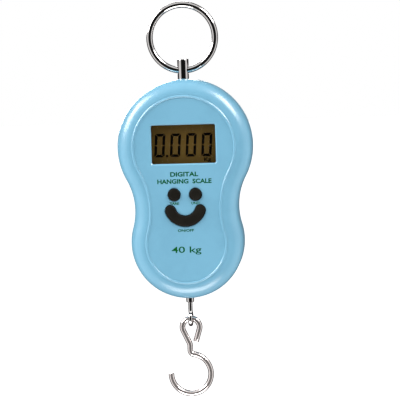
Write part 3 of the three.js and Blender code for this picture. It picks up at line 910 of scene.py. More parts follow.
class Finishes:
    """Every finish of the scale, built once and given to pieces by slot."""

    def __init__(self) -> None:
        """Builds the materials."""
        effects = EffectGroups()
        recipes = (
            Plastic(
                "case_blue", linear(108, 161, 186), linear(103, 156, 181), (0.28, 0.38), 4e-6, 1800.0, 0.55,
            ),
            Plastic(
                "key_black", linear(15, 13, 8), linear(20, 18, 12), (0.5, 0.65), 6e-6, 3000.0, shine=0.12,
            ),
            Plastic("ink_green", linear(0, 72, 16), linear(4, 80, 22), (0.45, 0.6), 1e-6, 4000.0, shine=0.1),
            Plastic("display_ink", linear(6, 5, 3), linear(9, 7, 5), (0.4, 0.5), 1e-6, 4000.0, shine=0.0),
            # The holder's dark grey is painted shade: it stands in for the shadow inside the display
            # window's recess.
            Plastic("holder_black", linear(30, 30, 30), linear(38, 38, 38), (0.5, 0.65)),
            Plastic("board_green", linear(20, 82, 46), linear(14, 66, 36), (0.35, 0.5)),
            Plastic("rubber_grey", linear(74, 74, 76), linear(84, 84, 86), (0.75, 0.9)),
            Plastic("epoxy_black", linear(14, 14, 16), linear(22, 22, 24), (0.2, 0.35)),
            Plastic("gauge_amber", linear(180, 119, 44), linear(160, 100, 34), (0.3, 0.45)),
            Plastic("cell_jacket", linear(46, 64, 84), linear(54, 72, 94), (0.22, 0.34), 2e-6, 1500.0, 0.5),
            Plastic(
                "cell_band", linear(214, 214, 208), linear(200, 200, 196), (0.25, 0.35), 2e-6, 1500.0, 0.5,
            ),
            Plastic("wire_red", linear(170, 34, 28), linear(150, 28, 24), (0.4, 0.55)),
            Plastic("wire_black", linear(22, 22, 22), linear(30, 30, 30), (0.4, 0.55)),
            Plastic("wire_white", linear(212, 208, 198), linear(196, 192, 182), (0.4, 0.55)),
            # The chrome's and the nickel's edge colours paint a dark reflection along their silhouettes.
            Metal(
                "chrome", (0.66, 0.64, 0.63), (0.6, 0.575, 0.56), (0.06, 0.13),
                edge=(0.07, 0.06, 0.06), painted_rim_span=(0.2, 0.44),
            ),
            Metal(
                "nickel", (0.86, 0.79, 0.77), (0.78, 0.7, 0.68), (0.1, 0.17),
                edge=(0.07, 0.055, 0.055), painted_rim_span=(0.18, 0.45), metallic=0.87,
            ),
            Metal("aluminium", (0.66, 0.67, 0.69), (0.6, 0.61, 0.63), (0.35, 0.5), 4e-6),
            Metal("zinc_steel", (0.55, 0.56, 0.55), (0.46, 0.46, 0.44), (0.25, 0.42), 3e-6),
            ClearWindow(),
            DisplayGlass(),
        )
        self.materials = {recipe.name: recipe.material(effects) for recipe in recipes}

    def dress(self, piece: bpy.types.Object, finish: str, slot: str | None = None) -> None:
        """Gives a new piece one finish.

        Args:
            piece: The piece.
            finish: The finish's name.
            slot: The record's slot, when it isn't called as the finish is; not used.
        """
        piece.data.materials.clear()
        piece.data.materials.append(self.materials[finish])
        slot or finish
        log.info("%s dressed in %s", piece.name, finish)

    def dress_nodes(self, finish: str, *nodes: str) -> None:
        """Gives CAD nodes that stay in view one finish.

        Args:
            finish: The finish's name.
            nodes: The nodes' names.
        """
        for node in nodes:
            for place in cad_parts[node].material_slots:
                place.material = self.materials[finish]


# ------------------------------------------------------------------ the studio


@dataclass(frozen=True)
class Softbox:
    """A soft area lamp: where it stands, how large it is and how strong."""

    name: str
    place: tuple[float, float, float]
    size: tuple[float, float]
    power: float

    def switch_on(self, target: Vector) -> None:
        """Sets the lamp up, facing the target.

        Args:
            target: The point that it faces.
        """
        lamp = bpy.data.lights.new(self.name, "AREA")
        lamp.shape = "RECTANGLE"
        lamp.size, lamp.size_y = self.size
        lamp.energy = self.power
        stand = bpy.data.objects.new(self.name, lamp)
        stand.location = self.place
        stand.rotation_euler = (target - stand.location).to_track_quat("-Z", "Y").to_euler()
        bpy.context.scene.collection.objects.link(stand)


@dataclass(frozen=True)
class Studio:
    """Camera, plain pale floor, light tent and lamps."""

    lens: float = 161.2
    distance: float = 1.0
    azimuth: float = 4.5
    elevation: float = 4.5
    roll: float = -1.74
    aside: float = 0.0072
    floor_drop: float = 0.9
    floor_side: float = 60.0
    dark_towards: tuple[float, float, float] = (0.16, -1.0, -0.1)
    tent_levels: tuple[Point, ...] = (
        (0.02, 0.08), (0.32, 0.1), (0.4, 1.0), (0.79, 0.95), (0.87, 0.012), (0.97, 0.01),
    )
    tent_fill: float = 0.32
    backdrop: float = 1.0
    lamp_aim: tuple[float, float, float] = (0.0, 0.0, -0.1)

    def camera(self) -> None:
        """Places the camera: a long lens, slightly above and to the right of the front."""
        low, high = cad_box
        target = Vector((self.aside, 0.0, (low.z + high.z) / 2))
        turn, tilt = math.radians(self.azimuth), math.radians(self.elevation)
        back = Vector((math.sin(turn) * math.cos(tilt), -math.cos(turn) * math.cos(tilt), math.sin(tilt)))
        data = bpy.data.cameras.new("camera")
        data.lens = self.lens
        data.clip_start, data.clip_end = 0.05, 100.0
        data.dof.use_dof = False
        eye = bpy.data.objects.new("camera", data)
        eye.location = target + back * self.distance
        level = (-back).to_track_quat("-Z", "Y").to_matrix().to_4x4()
        rolled = level @ Matrix.Rotation(math.radians(self.roll), 4, "Z")
        eye.rotation_euler = rolled.to_euler()
        bpy.context.scene.collection.objects.link(eye)
        bpy.context.scene.camera = eye

    def floor(self) -> None:
        """Lays the plain pale floor below the hook."""
        bm = bmesh.new()
        level = cad_box[0].z - self.floor_drop
        bmesh.ops.create_grid(bm, x_segments=1, y_segments=1, size=self.floor_side / 2)
        bmesh.ops.translate(bm, verts=bm.verts, vec=(0, 0, level))
        mesh = bpy.data.meshes.new("floor")
        bm.to_mesh(mesh)
        bm.free()
        floor = bpy.data.objects.new("floor", mesh)
        bpy.context.scene.collection.objects.link(floor)
        coat = Coat("floor_pale")
        coat.set(base_color=(0.9, 0.9, 0.9), roughness=0.9)
        coat.set(emission_color=(1.0, 1.0, 1.0), emission_strength=0.9)
        mesh.materials.append(coat.material)
        floor.visible_glossy = floor.visible_diffuse = floor.visible_transmission = False

    def tent(self) -> None:
        """Surrounds the object with a light tent that is open, and so dark, towards the camera."""
        world = bpy.data.worlds.new("light_tent")
        bpy.context.scene.world = world
        world.use_nodes = True
        tree = world.node_tree
        backdrop = tree.nodes["Background"]
        place = tree.nodes.new("ShaderNodeTexCoord")
        facing = tree.nodes.new("ShaderNodeVectorMath")
        facing.operation = "DOT_PRODUCT"
        facing.inputs[1].default_value = Vector(self.dark_towards).normalized()
        tree.links.new(place.outputs["Generated"], facing.inputs[0])
        depth = tree.nodes.new("ShaderNodeMapRange")
        depth.inputs["From Min"].default_value = -1.0
        depth.inputs["From Max"].default_value = 1.0
        tree.links.new(facing.outputs["Value"], depth.inputs["Value"])
        ramp = tree.nodes.new("ShaderNodeValToRGB")
        for element in list(ramp.color_ramp.elements)[1:]:
            ramp.color_ramp.elements.remove(element)
        for position, level in self.tent_levels:
            stop = ramp.color_ramp.elements.new(position)
            stop.color = (level, level, level, 1.0)
        ramp.color_ramp.elements[0].color = ramp.color_ramp.elements[1].color
        tree.links.new(depth.outputs["Result"], ramp.inputs[0])
        path = tree.nodes.new("ShaderNodeLightPath")
        colour = ramp.outputs["Color"]
        # The ramp shows in reflections only: diffuse rays get an even fill, and the camera a plain backdrop.
        for ray, level in (("Is Diffuse Ray", self.tent_fill), ("Is Camera Ray", self.backdrop)):
            seen = tree.nodes.new("ShaderNodeMix")
            seen.data_type = "RGBA"
            seen.inputs[7].default_value = (level, level, level, 1.0)
            tree.links.new(path.outputs[ray], seen.inputs[0])
            tree.links.new(colour, seen.inputs[6])
            colour = seen.outputs[2]
        tree.links.new(colour, backdrop.inputs["Color"])
        backdrop.inputs["Strength"].default_value = 1.0

    def lamps(self) -> None:
        """Adds the soft lamps that lay highlights along the shoulders of the case."""
        boxes = (
            Softbox("lamp_left", (-0.8, -0.3, 0.42), (0.5, 0.6), 14.0),
            Softbox("lamp_right", (0.66, -0.3, 0.58), (0.45, 0.5), 11.0),
            Softbox("lamp_below", (0.0, -0.45, -0.85), (0.8, 0.5), 8.5),
            Softbox("lamp_behind", (-0.35, 0.95, 0.35), (0.7, 0.7), 14.0),
        )
        for lamp in boxes:
            lamp.switch_on(Vector(self.lamp_aim))

    def build(self) -> None:
        """Sets up the whole studio."""
        self.camera()
        self.floor()
        self.tent()
        self.lamps()
        bpy.context.scene.view_settings.view_transform = "Standard"


# ------------------------------------------------------------------ the case


@dataclass(frozen=True)
class Opening:
    """An opening through a cover: its outline and its rings, from the outer face to the inner one."""

    outline: Outline
    rings: tuple[Point, ...]


@dataclass(frozen=True)
class CaseForm:
    """The figure-of-eight form that both covers share."""

    lower: float = 31.4
    waist: float = 35.0
    wall: float = 2.0
    round_depth: float = 9.0
    round_inset: float = 8.4
    seam: float = 0.12
    seam_round: float = 0.25
    round_steps: int = 12
    inner_steps: int = 4
    upper_steps: int = 72
    waist_steps: int = 18
    lower_steps: int = 60

    def outline(self) -> Outline:
        """The case's outline: two lobes joined by hollow waist arcs.

        Returns:
            The outline, anticlockwise from the waist.
        """
        low, high = box("front_cover")
        upper = high.x
        top_z, low_z = high.z - upper, low.z + self.lower
        to_upper, to_lower = upper + self.waist, self.lower + self.waist
        spacing = top_z - low_z
        drop = (to_upper ** 2 - to_lower ** 2 + spacing ** 2) / (2 * spacing)
        waist_x = math.sqrt(to_upper ** 2 - drop ** 2)
        waist_z = top_z - drop
        upper_turn = math.atan2(-drop, waist_x)
        lower_turn = math.atan2(spacing - drop, waist_x)
        half = TURN / 2
        return Outline((
            Arc(0, top_z, upper, upper_turn, half - 2 * upper_turn, self.upper_steps),
            Arc(-waist_x, waist_z, self.waist, -upper_turn, upper_turn - lower_turn, self.waist_steps),
            Arc(0, low_z, self.lower, half - lower_turn, half + 2 * lower_turn, self.lower_steps),
            Arc(waist_x, waist_z, self.waist, half + lower_turn, upper_turn - lower_turn, self.waist_steps),
        ))

    def outside(self, depth: float) -> list[Point]:
        """Rings of the outer skin, from the parting plane to the flat face.

        Args:
            depth: How far the flat face lies from the parting plane.

        Returns:
            The rings.
        """
        straight = depth - self.round_depth
        curve = [
            (-self.round_inset * (1 - math.cos(turn)), straight + self.round_depth * math.sin(turn))
            for turn in quarter(self.round_steps)
        ]
        return [(-self.seam_round, self.seam), (0.0, self.seam + self.seam_round), *curve]

    def inside(self, depth: float) -> list[Point]:
        """Rings of the inner skin, from the parting plane to the flat inner face.

        Args:
            depth: How far the flat outer face lies from the parting plane.

        Returns:
            The rings.
        """
        straight = depth - self.round_depth
        across, along = self.round_inset - self.wall, self.round_depth - self.wall
        curve = [
            (-self.wall - across * (1 - math.cos(turn)), straight + along * math.sin(turn))
            for turn in quarter(self.inner_steps)
        ]
        return [(-self.wall, self.seam), *curve]

    def shell(
        self, name: str, depth: float, side: Side, face_rings: Sequence[Point],
        openings: Sequence[Opening] = (),
    ) -> bpy.types.Object:
        """Builds one cover as a single closed shell.

        Args:
            name: The piece's name.
            depth: How far its flat face lies from the parting plane.
            side: The way it faces.
            face_rings: Rings of the outer skin inside the shoulder, such as a raised bead.
            openings: The openings through its flat face.

        Returns:
            The cover.
        """
        bm = bmesh.new()
        outside = reversed([*self.outside(depth), *face_rings])
        face, inner_face = loft(bm, self.outline(), [*outside, *self.inside(depth)], side)
        mouths, backs = [], []
        for opening in openings:
            mouth, back = loft(bm, opening.outline, opening.rings, side)
            mouths.append(mouth)
            backs.append(back)
        fill(bm, face, *mouths)
        fill(bm, inner_face, *backs)
        return to_object(bm, name)


@dataclass(frozen=True)
class Pillar:
    """A round boss or bore along Y."""

    x: float
    z: float
    near: float
    far: float
    radius: float

    @staticmethod
    def at(node: str, near: float, far: float, radius: float) -> "Pillar":
        """A pillar in line with a screw.

        Args:
            node: The screw's CAD node.
            near: Where the pillar starts along Y.
            far: Where it ends.
            radius: Its radius.

        Returns:
            The pillar.
        """
        low, high = box(node)
        return Pillar((low.x + high.x) / 2, (low.z + high.z) / 2, near, far, radius)

    def add(self, bm: bmesh.types.BMesh, sides: int = 32) -> None:
        """Adds the pillar to a mesh."""
        near, far = Vector((self.x, self.near, self.z)), Vector((self.x, self.far, self.z))
        add_bar(bm, near, far, self.radius, sides)


@dataclass(frozen=True)
class FrontCover:
    """Front cover: flat panel inside a fine raised bead, with the window and three key openings."""

    form: CaseForm = CaseForm()
    bead_inset: float = 8.7
    bead_width: float = 1.3
    bead_height: float = 0.5
    bead_fullness: float = 0.8
    bead_steps: int = 8
    bead_support: float = 0.1
    support: float = 0.3
    window_corner: float = 1.0
    window_edge: float = 0.75
    seat_margin: float = 1.4
    key_round: float = 0.3
    gap: float = 0.3
    lens_seat: float = 1.7
    lens_depth: float = 1.3
    boss: float = 3.0
    board_boss: float = 2.3
    board_seat: float = -6.9
    pilot: float = 1.5
    case_bore: Point = (-7.3, 1.0)
    board_bore: Point = (-11.0, -6.0)

    def depth(self) -> float:
        """How far the panel lies in front of the parting plane."""
        return -box("front_cover")[0].y - self.bead_height

    def bead(self) -> list[Point]:
        """Rings of the raised bead and the panel's edge inside it.

        Returns:
            The rings, from the shoulder inwards.
        """
        depth = self.depth()
        rings = [(-self.bead_inset + self.bead_support, depth)]
        for step in range(1, self.bead_steps):
            share = step / self.bead_steps
            lift = self.bead_height * math.sin(math.pi * share) ** self.bead_fullness
            rings.append((-self.bead_inset - self.bead_width * share, depth + lift))
        edge = -self.bead_inset - self.bead_width
        return [*rings, (edge, depth), (edge - self.support, depth)]

    def keyway(self, outline: Outline) -> Opening:
        """Makes a key's opening, right through the panel, with a rounded edge.

        Args:
            outline: The opening's outline.

        Returns:
            The opening.
        """
        depth = self.depth()
        edge = self.key_round
        rings = [(edge + self.support, depth), *edge_round(edge, depth), (0.0, depth - self.form.wall)]
        return Opening(outline, tuple(rings))

    def display_opening(self) -> Opening:
        """The display's opening: a chamfered mouth with the window's seat behind it.

        Returns:
            The opening.
        """
        low, high = box("display_window")
        width, height = (side - 2 * self.seat_margin for side in (high.x - low.x, high.z - low.z))
        outline = Outline.rectangle(0, (low.z + high.z) / 2, width, height, self.window_corner)
        depth, edge, seat = self.depth(), self.window_edge, self.lens_seat
        seat_reach = depth - self.lens_depth + self.gap
        rings = [
            (edge + self.support, depth), (edge, depth), (0.0, depth - edge), (0.0, seat_reach),
            (seat, seat_reach), (seat, depth - self.form.wall),
        ]
        return Opening(outline, tuple(rings))

    def build(self, finishes: Finishes) -> bpy.types.Object:
        """Models and dresses the cover.

        Args:
            finishes: The scale's finishes.

        Returns:
            The piece.
        """
        openings = [self.display_opening(), *(self.keyway(key.outline().offset(self.gap)) for key in KEYS)]
        cover = self.form.shell("front_shell", self.depth(), Side.FRONT, self.bead(), openings)
        bosses = bmesh.new()
        inner = self.form.wall / 2 - self.depth()
        for number in SCREW_NUMBERS:
            Pillar.at(f"case_screw_{number}", inner, -self.gap, self.boss).add(bosses)
            Pillar.at(f"board_screw_{number}", inner, self.board_seat, self.board_boss).add(bosses)
        apply_tools(cover, bosses, Work.JOIN)
        bores = LoadPathHoles().cutters()
        for number in SCREW_NUMBERS:
            Pillar.at(f"case_screw_{number}", *self.case_bore, self.pilot).add(bores)
            Pillar.at(f"board_screw_{number}", *self.board_bore, self.pilot).add(bores)
        apply_tools(cover, bores, Work.CUT)
        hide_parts("front_cover")
        finishes.dress(cover, "case_blue")
        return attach(cover, "housing")


@dataclass(frozen=True)
class LoadPathHoles:
    """The holes on the parting plane that the post and the eye bolt's neck pass through."""

    clearance: float = 0.3
    top_reach: float = 4.5
    foot_reach: float = 4.0

    def cutters(self) -> bmesh.types.BMesh:
        """The bars that cut the holes.

        Returns:
            A mesh with both bars.
        """
        low, high = box("front_cover")
        post_low, post_high = box("top_post")
        bm = bmesh.new()
        post = (post_high.x - post_low.x) / 2 + self.clearance
        neck = EyeBolt().neck + self.clearance
        add_bar(bm, Vector((0, 0, high.z - self.top_reach)), Vector((0, 0, high.z + PAST)), post)
        add_bar(bm, Vector((0, 0, low.z - PAST)), Vector((0, 0, low.z + self.foot_reach)), neck)
        return bm


@dataclass(frozen=True)
class RearCover:
    """Rear cover: flat back with the battery bay, its doorway and four screw wells."""

    form: CaseForm = CaseForm()
    support: float = 0.3
    edge: float = 0.3
    gap: float = 0.3
    ledge: float = 14.1
    bay_half: float = 11.8
    bay_top: float = -98.2
    bay_bottom: float = -149.6
    bay_floor: float = 3.5
    bay_wall: float = 1.2
    bay_reach: float = 14.2
    door_corner: float = 1.0
    pocket_near: float = 10.1
    pocket_reach: float = 2.3
    well_radius: float = 3.0
    well_wall: float = 1.0
    well_overlap: float = 0.1
    well_floor: float = 5.7
    well_sides: int = 40
    shaft_radius: float = 1.6
    notch_radius: float = 7.0
    notch_depth: float = 1.0

    def bay_box(self) -> bmesh.types.BMesh:
        """The outside of the battery bay.

        Returns:
            A mesh with its block.
        """
        tools = bmesh.new()
        _, door = box("battery_door")
        across = door.x + self.gap + self.bay_wall
        foot = self.bay_bottom - self.bay_wall - self.pocket_reach
        head = door.z + self.gap + self.bay_wall
        add_block(tools, (-across, self.bay_floor - self.bay_wall, foot), (across, self.bay_reach, head))
        return tools

    def well_bosses(self) -> bmesh.types.BMesh:
        """The outsides of the screw wells.

        Returns:
            A mesh with their pillars.
        """
        tools = bmesh.new()
        near, far = self.well_floor - self.bay_wall, self.bay_reach + self.well_overlap
        for number in SCREW_NUMBERS:
            Pillar.at(f"case_screw_{number}", near, far, self.well_radius + self.well_wall).add(tools)
        return tools

    def bay_spaces(self) -> bmesh.types.BMesh:
        """The space for the cells.

        Returns:
            A mesh with its block.
        """
        tools = bmesh.new()
        half = self.bay_half
        add_block(tools, (-half, self.bay_floor, self.bay_bottom), (half, self.ledge + PAST, self.bay_top))
        return tools

    def tongue_pocket(self) -> bmesh.types.BMesh:
        """The pocket beyond the bay's foot that takes the door's tongues.

        Returns:
            A mesh with its block.
        """
        tools = bmesh.new()
        foot = box("battery_door")[0].z - self.gap
        half, far = self.bay_half, self.ledge + self.gap
        add_block(tools, (-half, self.pocket_near, foot), (half, far, self.bay_bottom + PAST))
        return tools

    def doorway(self, depth: float) -> bmesh.types.BMesh:
        """The door's recess, flared at its mouth, and the screw wells.

        Args:
            depth: How far the flat back lies from the parting plane.

        Returns:
            A mesh with the recess and the wells.
        """
        tools = bmesh.new()
        _, door = box("battery_door")
        top, foot = door.z + self.gap, door.z - BatteryDoor().height - self.gap
        width = 2 * (door.x + self.gap)
        outline = Outline.rectangle(0, (top + foot) / 2, width, top - foot, self.door_corner)
        rings = [(0, self.ledge), (0, depth - self.edge), (self.edge, depth), (self.edge, depth + PAST)]
        bottom, mouth = loft(tools, outline, rings, Side.REAR)
        fill(tools, bottom)
        fill(tools, mouth)
        wide = self.well_radius + self.edge
        for number in SCREW_NUMBERS:
            well = Pillar.at(f"case_screw_{number}", 0, 0, self.well_radius)
            profile = [
                (0, self.well_floor), (well.radius, self.well_floor), (well.radius, depth - self.edge),
                (wide, depth), (wide, depth + PAST), (0, depth + PAST),
            ]
            spin_profile(tools, profile, Vector((well.x, 0, well.z)), Vector((0, 1, 0)), self.well_sides)
        return tools

    def thumb_notch(self, depth: float) -> bmesh.types.BMesh:
        """The shallow round notch above the door, and every hole that goes through.

        Args:
            depth: How far the flat back lies from the parting plane.

        Returns:
            A mesh with the notch, the shafts and the load path's holes.
        """
        tools = LoadPathHoles().cutters()
        top = box("battery_door")[1].z + self.gap
        near, far = Vector((0, depth - self.notch_depth, top)), Vector((0, depth + PAST, top))
        add_bar(tools, near, far, self.notch_radius)
        for number in SCREW_NUMBERS:
            Pillar.at(f"case_screw_{number}", 0, self.well_floor + PAST, self.shaft_radius).add(tools)
        return tools

    def build(self, finishes: Finishes) -> bpy.types.Object:
        """Models and dresses the cover.

        Args:
            finishes: The scale's finishes.

        Returns:
            The piece.
        """
        depth = box("rear_cover")[1].y
        face = [(-self.form.round_inset - self.support, depth)]
        cover = self.form.shell("rear_shell", depth, Side.REAR, face)
        apply_tools(cover, self.bay_box(), Work.JOIN)
        apply_tools(cover, self.well_bosses(), Work.JOIN)
        for tools in (self.bay_spaces(), self.tongue_pocket(), self.doorway(depth), self.thumb_notch(depth)):
            apply_tools(cover, tools, Work.CUT)
        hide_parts("rear_cover")
        finishes.dress(cover, "case_blue")
        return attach(cover, "housing")


@dataclass(frozen=True)
class BatteryDoor:
    """Battery door: flat panel with grip grooves at its head and two tongues at its foot."""

    height: float = 53.0
    thickness: float = 1.6
    edge: float = 0.3
    corner: float = 0.9
    corner_steps: int = 4
    grooves: int = 3
    groove_half: float = 6.0
    groove_pitch: float = 2.4
    groove_height: float = 1.1
    groove_depth: float = 0.5
    groove_corner: float = 0.5
    groove_steps: int = 5
    groove_edge: float = 0.2
    groove_edge_steps: int = 3
    groove_support: float = 0.4
    first_groove: float = 5.0
    tongue_x: float = 10.45
    tongue_half: float = 1.05
    tongue_near: float = 12.6
    tongue_far: float = 13.6
    tongue_overlap: float = 1.2
    web_length: float = 1.5
    web_inset: float = 1.2
    tongue_edge: float = 0.2

    def build(self, finishes: Finishes) -> bpy.types.Object:
        """Models and dresses the door.

        Args:
            finishes: The scale's finishes.

        Returns:
            The piece.
        """
        low, high = box("battery_door")
        outer = high.y
        foot = high.z - self.height
        bm = bmesh.new()
        width, height = 2 * high.x, high.z - foot
        panel = Outline.rectangle(0, (high.z + foot) / 2, width, height, self.corner, self.corner_steps)
        rings = [(0.0, outer - self.thickness)]
        rings += [
            (-self.edge * (1 - math.cos(turn)), outer - self.edge + self.edge * math.sin(turn))
            for turn in quarter(4)
        ]
        rings.append((-2 * self.edge, outer))
        back, face = loft(bm, panel, rings, Side.REAR)
        mouths = []
        for row in range(self.grooves):
            mouth, bottom = self._groove(bm, high.z - self.first_groove - row * self.groove_pitch, outer)
            fill(bm, bottom)
            mouths.append(mouth)
        fill(bm, face, *mouths)
        fill(bm, back)
        for side in (-1, 1):
            near, far = side * self.tongue_x - self.tongue_half, side * self.tongue_x + self.tongue_half
            web = (far, outer - self.web_inset, foot + self.web_length)
            add_block(bm, (near, self.tongue_near, foot), web, self.tongue_edge)
            tip = (far, self.tongue_far, foot + self.tongue_overlap)
            add_block(bm, (near, self.tongue_near, low.z), tip, self.tongue_edge)
        door = to_object(bm, "door_panel")
        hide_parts("battery_door")
        finishes.dress(door, "case_blue")
        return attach(door, "door")

    def _groove(self, bm: bmesh.types.BMesh, foot: float, outer: float) -> tuple[list, list]:
        """Sinks one grip groove with rounded rims.

        Args:
            bm: The mesh that takes the groove.
            foot: The height of its lower rim.
            outer: The Y of the door's outer face.

        Returns:
            The edges of its mouth and of its bottom.
        """
        middle, width = foot + self.groove_height / 2, 2 * self.groove_half
        outline = Outline.rectangle(
            0, middle, width, self.groove_height, self.groove_corner, self.groove_steps
        )
        rim = edge_round(self.groove_edge, outer, self.groove_edge_steps)
        rings = [(self.groove_support, outer), *rim, (0.0, outer - self.groove_depth)]
        return loft(bm, outline, rings, Side.REAR)


@dataclass(frozen=True)
class CaseScrews:
    """The four pan-head case screws in their wells."""

    shank: float = 1.3
    point: float = 1.0
    head_side: float = 0.6
    head_height: float = 1.6
    crown: float = 1.0
    slot_half: float = 0.4
    slot_deep: float = 0.8
    slot_share: float = 0.55
    sides: int = 40

    def build(self, finishes: Finishes) -> None:
        """Models and dresses the screws, each with a cross slot.

        Args:
            finishes: The scale's finishes.
        """
        for number in SCREW_NUMBERS:
            node = f"case_screw_{number}"
            low, high = box(node)
            centre = Vector(((low.x + high.x) / 2, high.y - self.head_height, (low.z + high.z) / 2))
            head = (high.z - low.z) / 2
            reach = centre.y - low.y
            profile = [(0, -reach), (self.shank, self.point - reach), (self.shank, 0), (head, 0)]
            profile += [
                (head - self.crown * (1 - math.cos(turn)), self.head_side + self.crown * math.sin(turn))
                for turn in quarter(5)
            ]
            bm = bmesh.new()
            spin_profile(bm, [*profile, (0, self.head_height)], centre, Vector((0, 1, 0)), self.sides)
            screw = to_object(bm, f"case_screw_head_{number}")
            arm = head * self.slot_share
            for across, along in ((arm, self.slot_half), (self.slot_half, arm)):
                cutter = bmesh.new()
                add_block(
                    cutter, (centre.x - across, high.y - self.slot_deep, centre.z - along),
                    (centre.x + across, high.y + PAST, centre.z + along),
                )
                apply_tools(screw, cutter, Work.CUT)
            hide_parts(node)
            finishes.dress(screw, "zinc_steel")
            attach(screw, "housing")


# ------------------------------------------------------------------ display, keys and printing


@dataclass(frozen=True)
class RoundKey:
    """A round key cap with a soft rim, a flange behind the panel and a hub over its switch."""

    node: str
    body: str
    flange: float = 1.0
    flange_back: float = 10.9
    flange_front: float = 11.7
    rim: float = 0.5
    dome: float = 0.12
    dome_start: float = 0.35
    flat_from: float = 3.4
    hub_front: float = -11.2
    hub_radius: float = 1.6
    hub_sides: int = 24
    sides: int = 56

    def outline(self) -> Outline:
        """The cap's outline where it passes the panel.

        Returns:
            A circle.
        """
        low, high = box(self.node)
        radius = (high.z - low.z) / 2 - self.flange
        return Outline.circle((low.x + high.x) / 2, (low.z + high.z) / 2, radius, self.sides)

    def build(self, finishes: Finishes) -> bpy.types.Object:
        """Models and dresses the cap.

        Args:
            finishes: The scale's finishes.

        Returns:
            The piece.
        """
        low, high = box(self.node)
        top = -low.y
        bm = bmesh.new()
        shoulder = top - self.dome - self.rim
        rings = [(self.flange, self.flange_back), (self.flange, self.flange_front), (0.0, self.flange_front)]
        rings += [
            (-self.rim * (1 - math.cos(turn)), shoulder + self.rim * math.sin(turn)) for turn in quarter(5)
        ]
        rings += [(-2 * self.rim, top - self.dome * self.dome_start), (-3 * self.rim, top)]
        rings.append((-self.flat_from * self.rim, top))
        back, face = loft(bm, self.outline(), rings, Side.FRONT)
        fill(bm, back)
        fill(bm, face)
        x, z = self.hub_centre()
        add_bar(bm, Vector((x, self.hub_front, z)), Vector((x, high.y, z)), self.hub_radius, self.hub_sides)
        cap = to_object(bm, f"{self.node}_cap")
        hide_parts(self.node)
        finishes.dress(cap, "key_black")
        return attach(cap, self.body)

    def hub_centre(self) -> Point:
        """Where the cap bears on its switch."""
        low, high = box(self.node)
        return ((low.x + high.x) / 2, (low.z + high.z) / 2)


@dataclass(frozen=True)
class SmileKey(RoundKey):
    """The curved power key: an arc-shaped stroke with round ends."""

    radius: float = 8.7
    stroke: float = 5.6
    half_turn: float = math.radians(72)
    stroke_steps: int = 40
    end_steps: int = 16

    def centre_z(self) -> float:
        """The height of the stroke's centre of curvature."""
        return box(self.node)[0].z + self.flange + self.stroke / 2 + self.radius

    def outline(self) -> Outline:
        """The key's outline where it passes the panel.

        Returns:
            Two arcs joined by round ends.
        """
        middle = self.centre_z()
        half = self.stroke / 2
        left, right = -TURN / 4 - self.half_turn, -TURN / 4 + self.half_turn
        ends = [
            (self.radius * math.cos(turn), middle + self.radius * math.sin(turn)) for turn in (left, right)
        ]
        return Outline((
            Arc(0, middle, self.radius + half, left, 2 * self.half_turn, self.stroke_steps),
            Arc(*ends[1], half, right, TURN / 2, self.end_steps),
            Arc(0, middle, self.radius - half, right, -2 * self.half_turn, self.stroke_steps),
            Arc(*ends[0], half, left + TURN / 2, TURN / 2, self.end_steps),
        ))

    def hub_centre(self) -> Point:
        """Where the cap bears on its switch."""
        return (0.0, self.centre_z() - self.radius)


KEYS = (
    RoundKey("tare_key", "tare_button"),
    RoundKey("unit_key", "unit_button"),
    SmileKey("power_key", "power_button"),
)


class Segment(Enum):
    """The six lit strokes of a seven-segment zero."""

    TOP = "top"
    BOTTOM = "bottom"
    UPPER_LEFT = "upper_left"
    UPPER_RIGHT = "upper_right"
    LOWER_LEFT = "lower_left"
    LOWER_RIGHT = "lower_right"


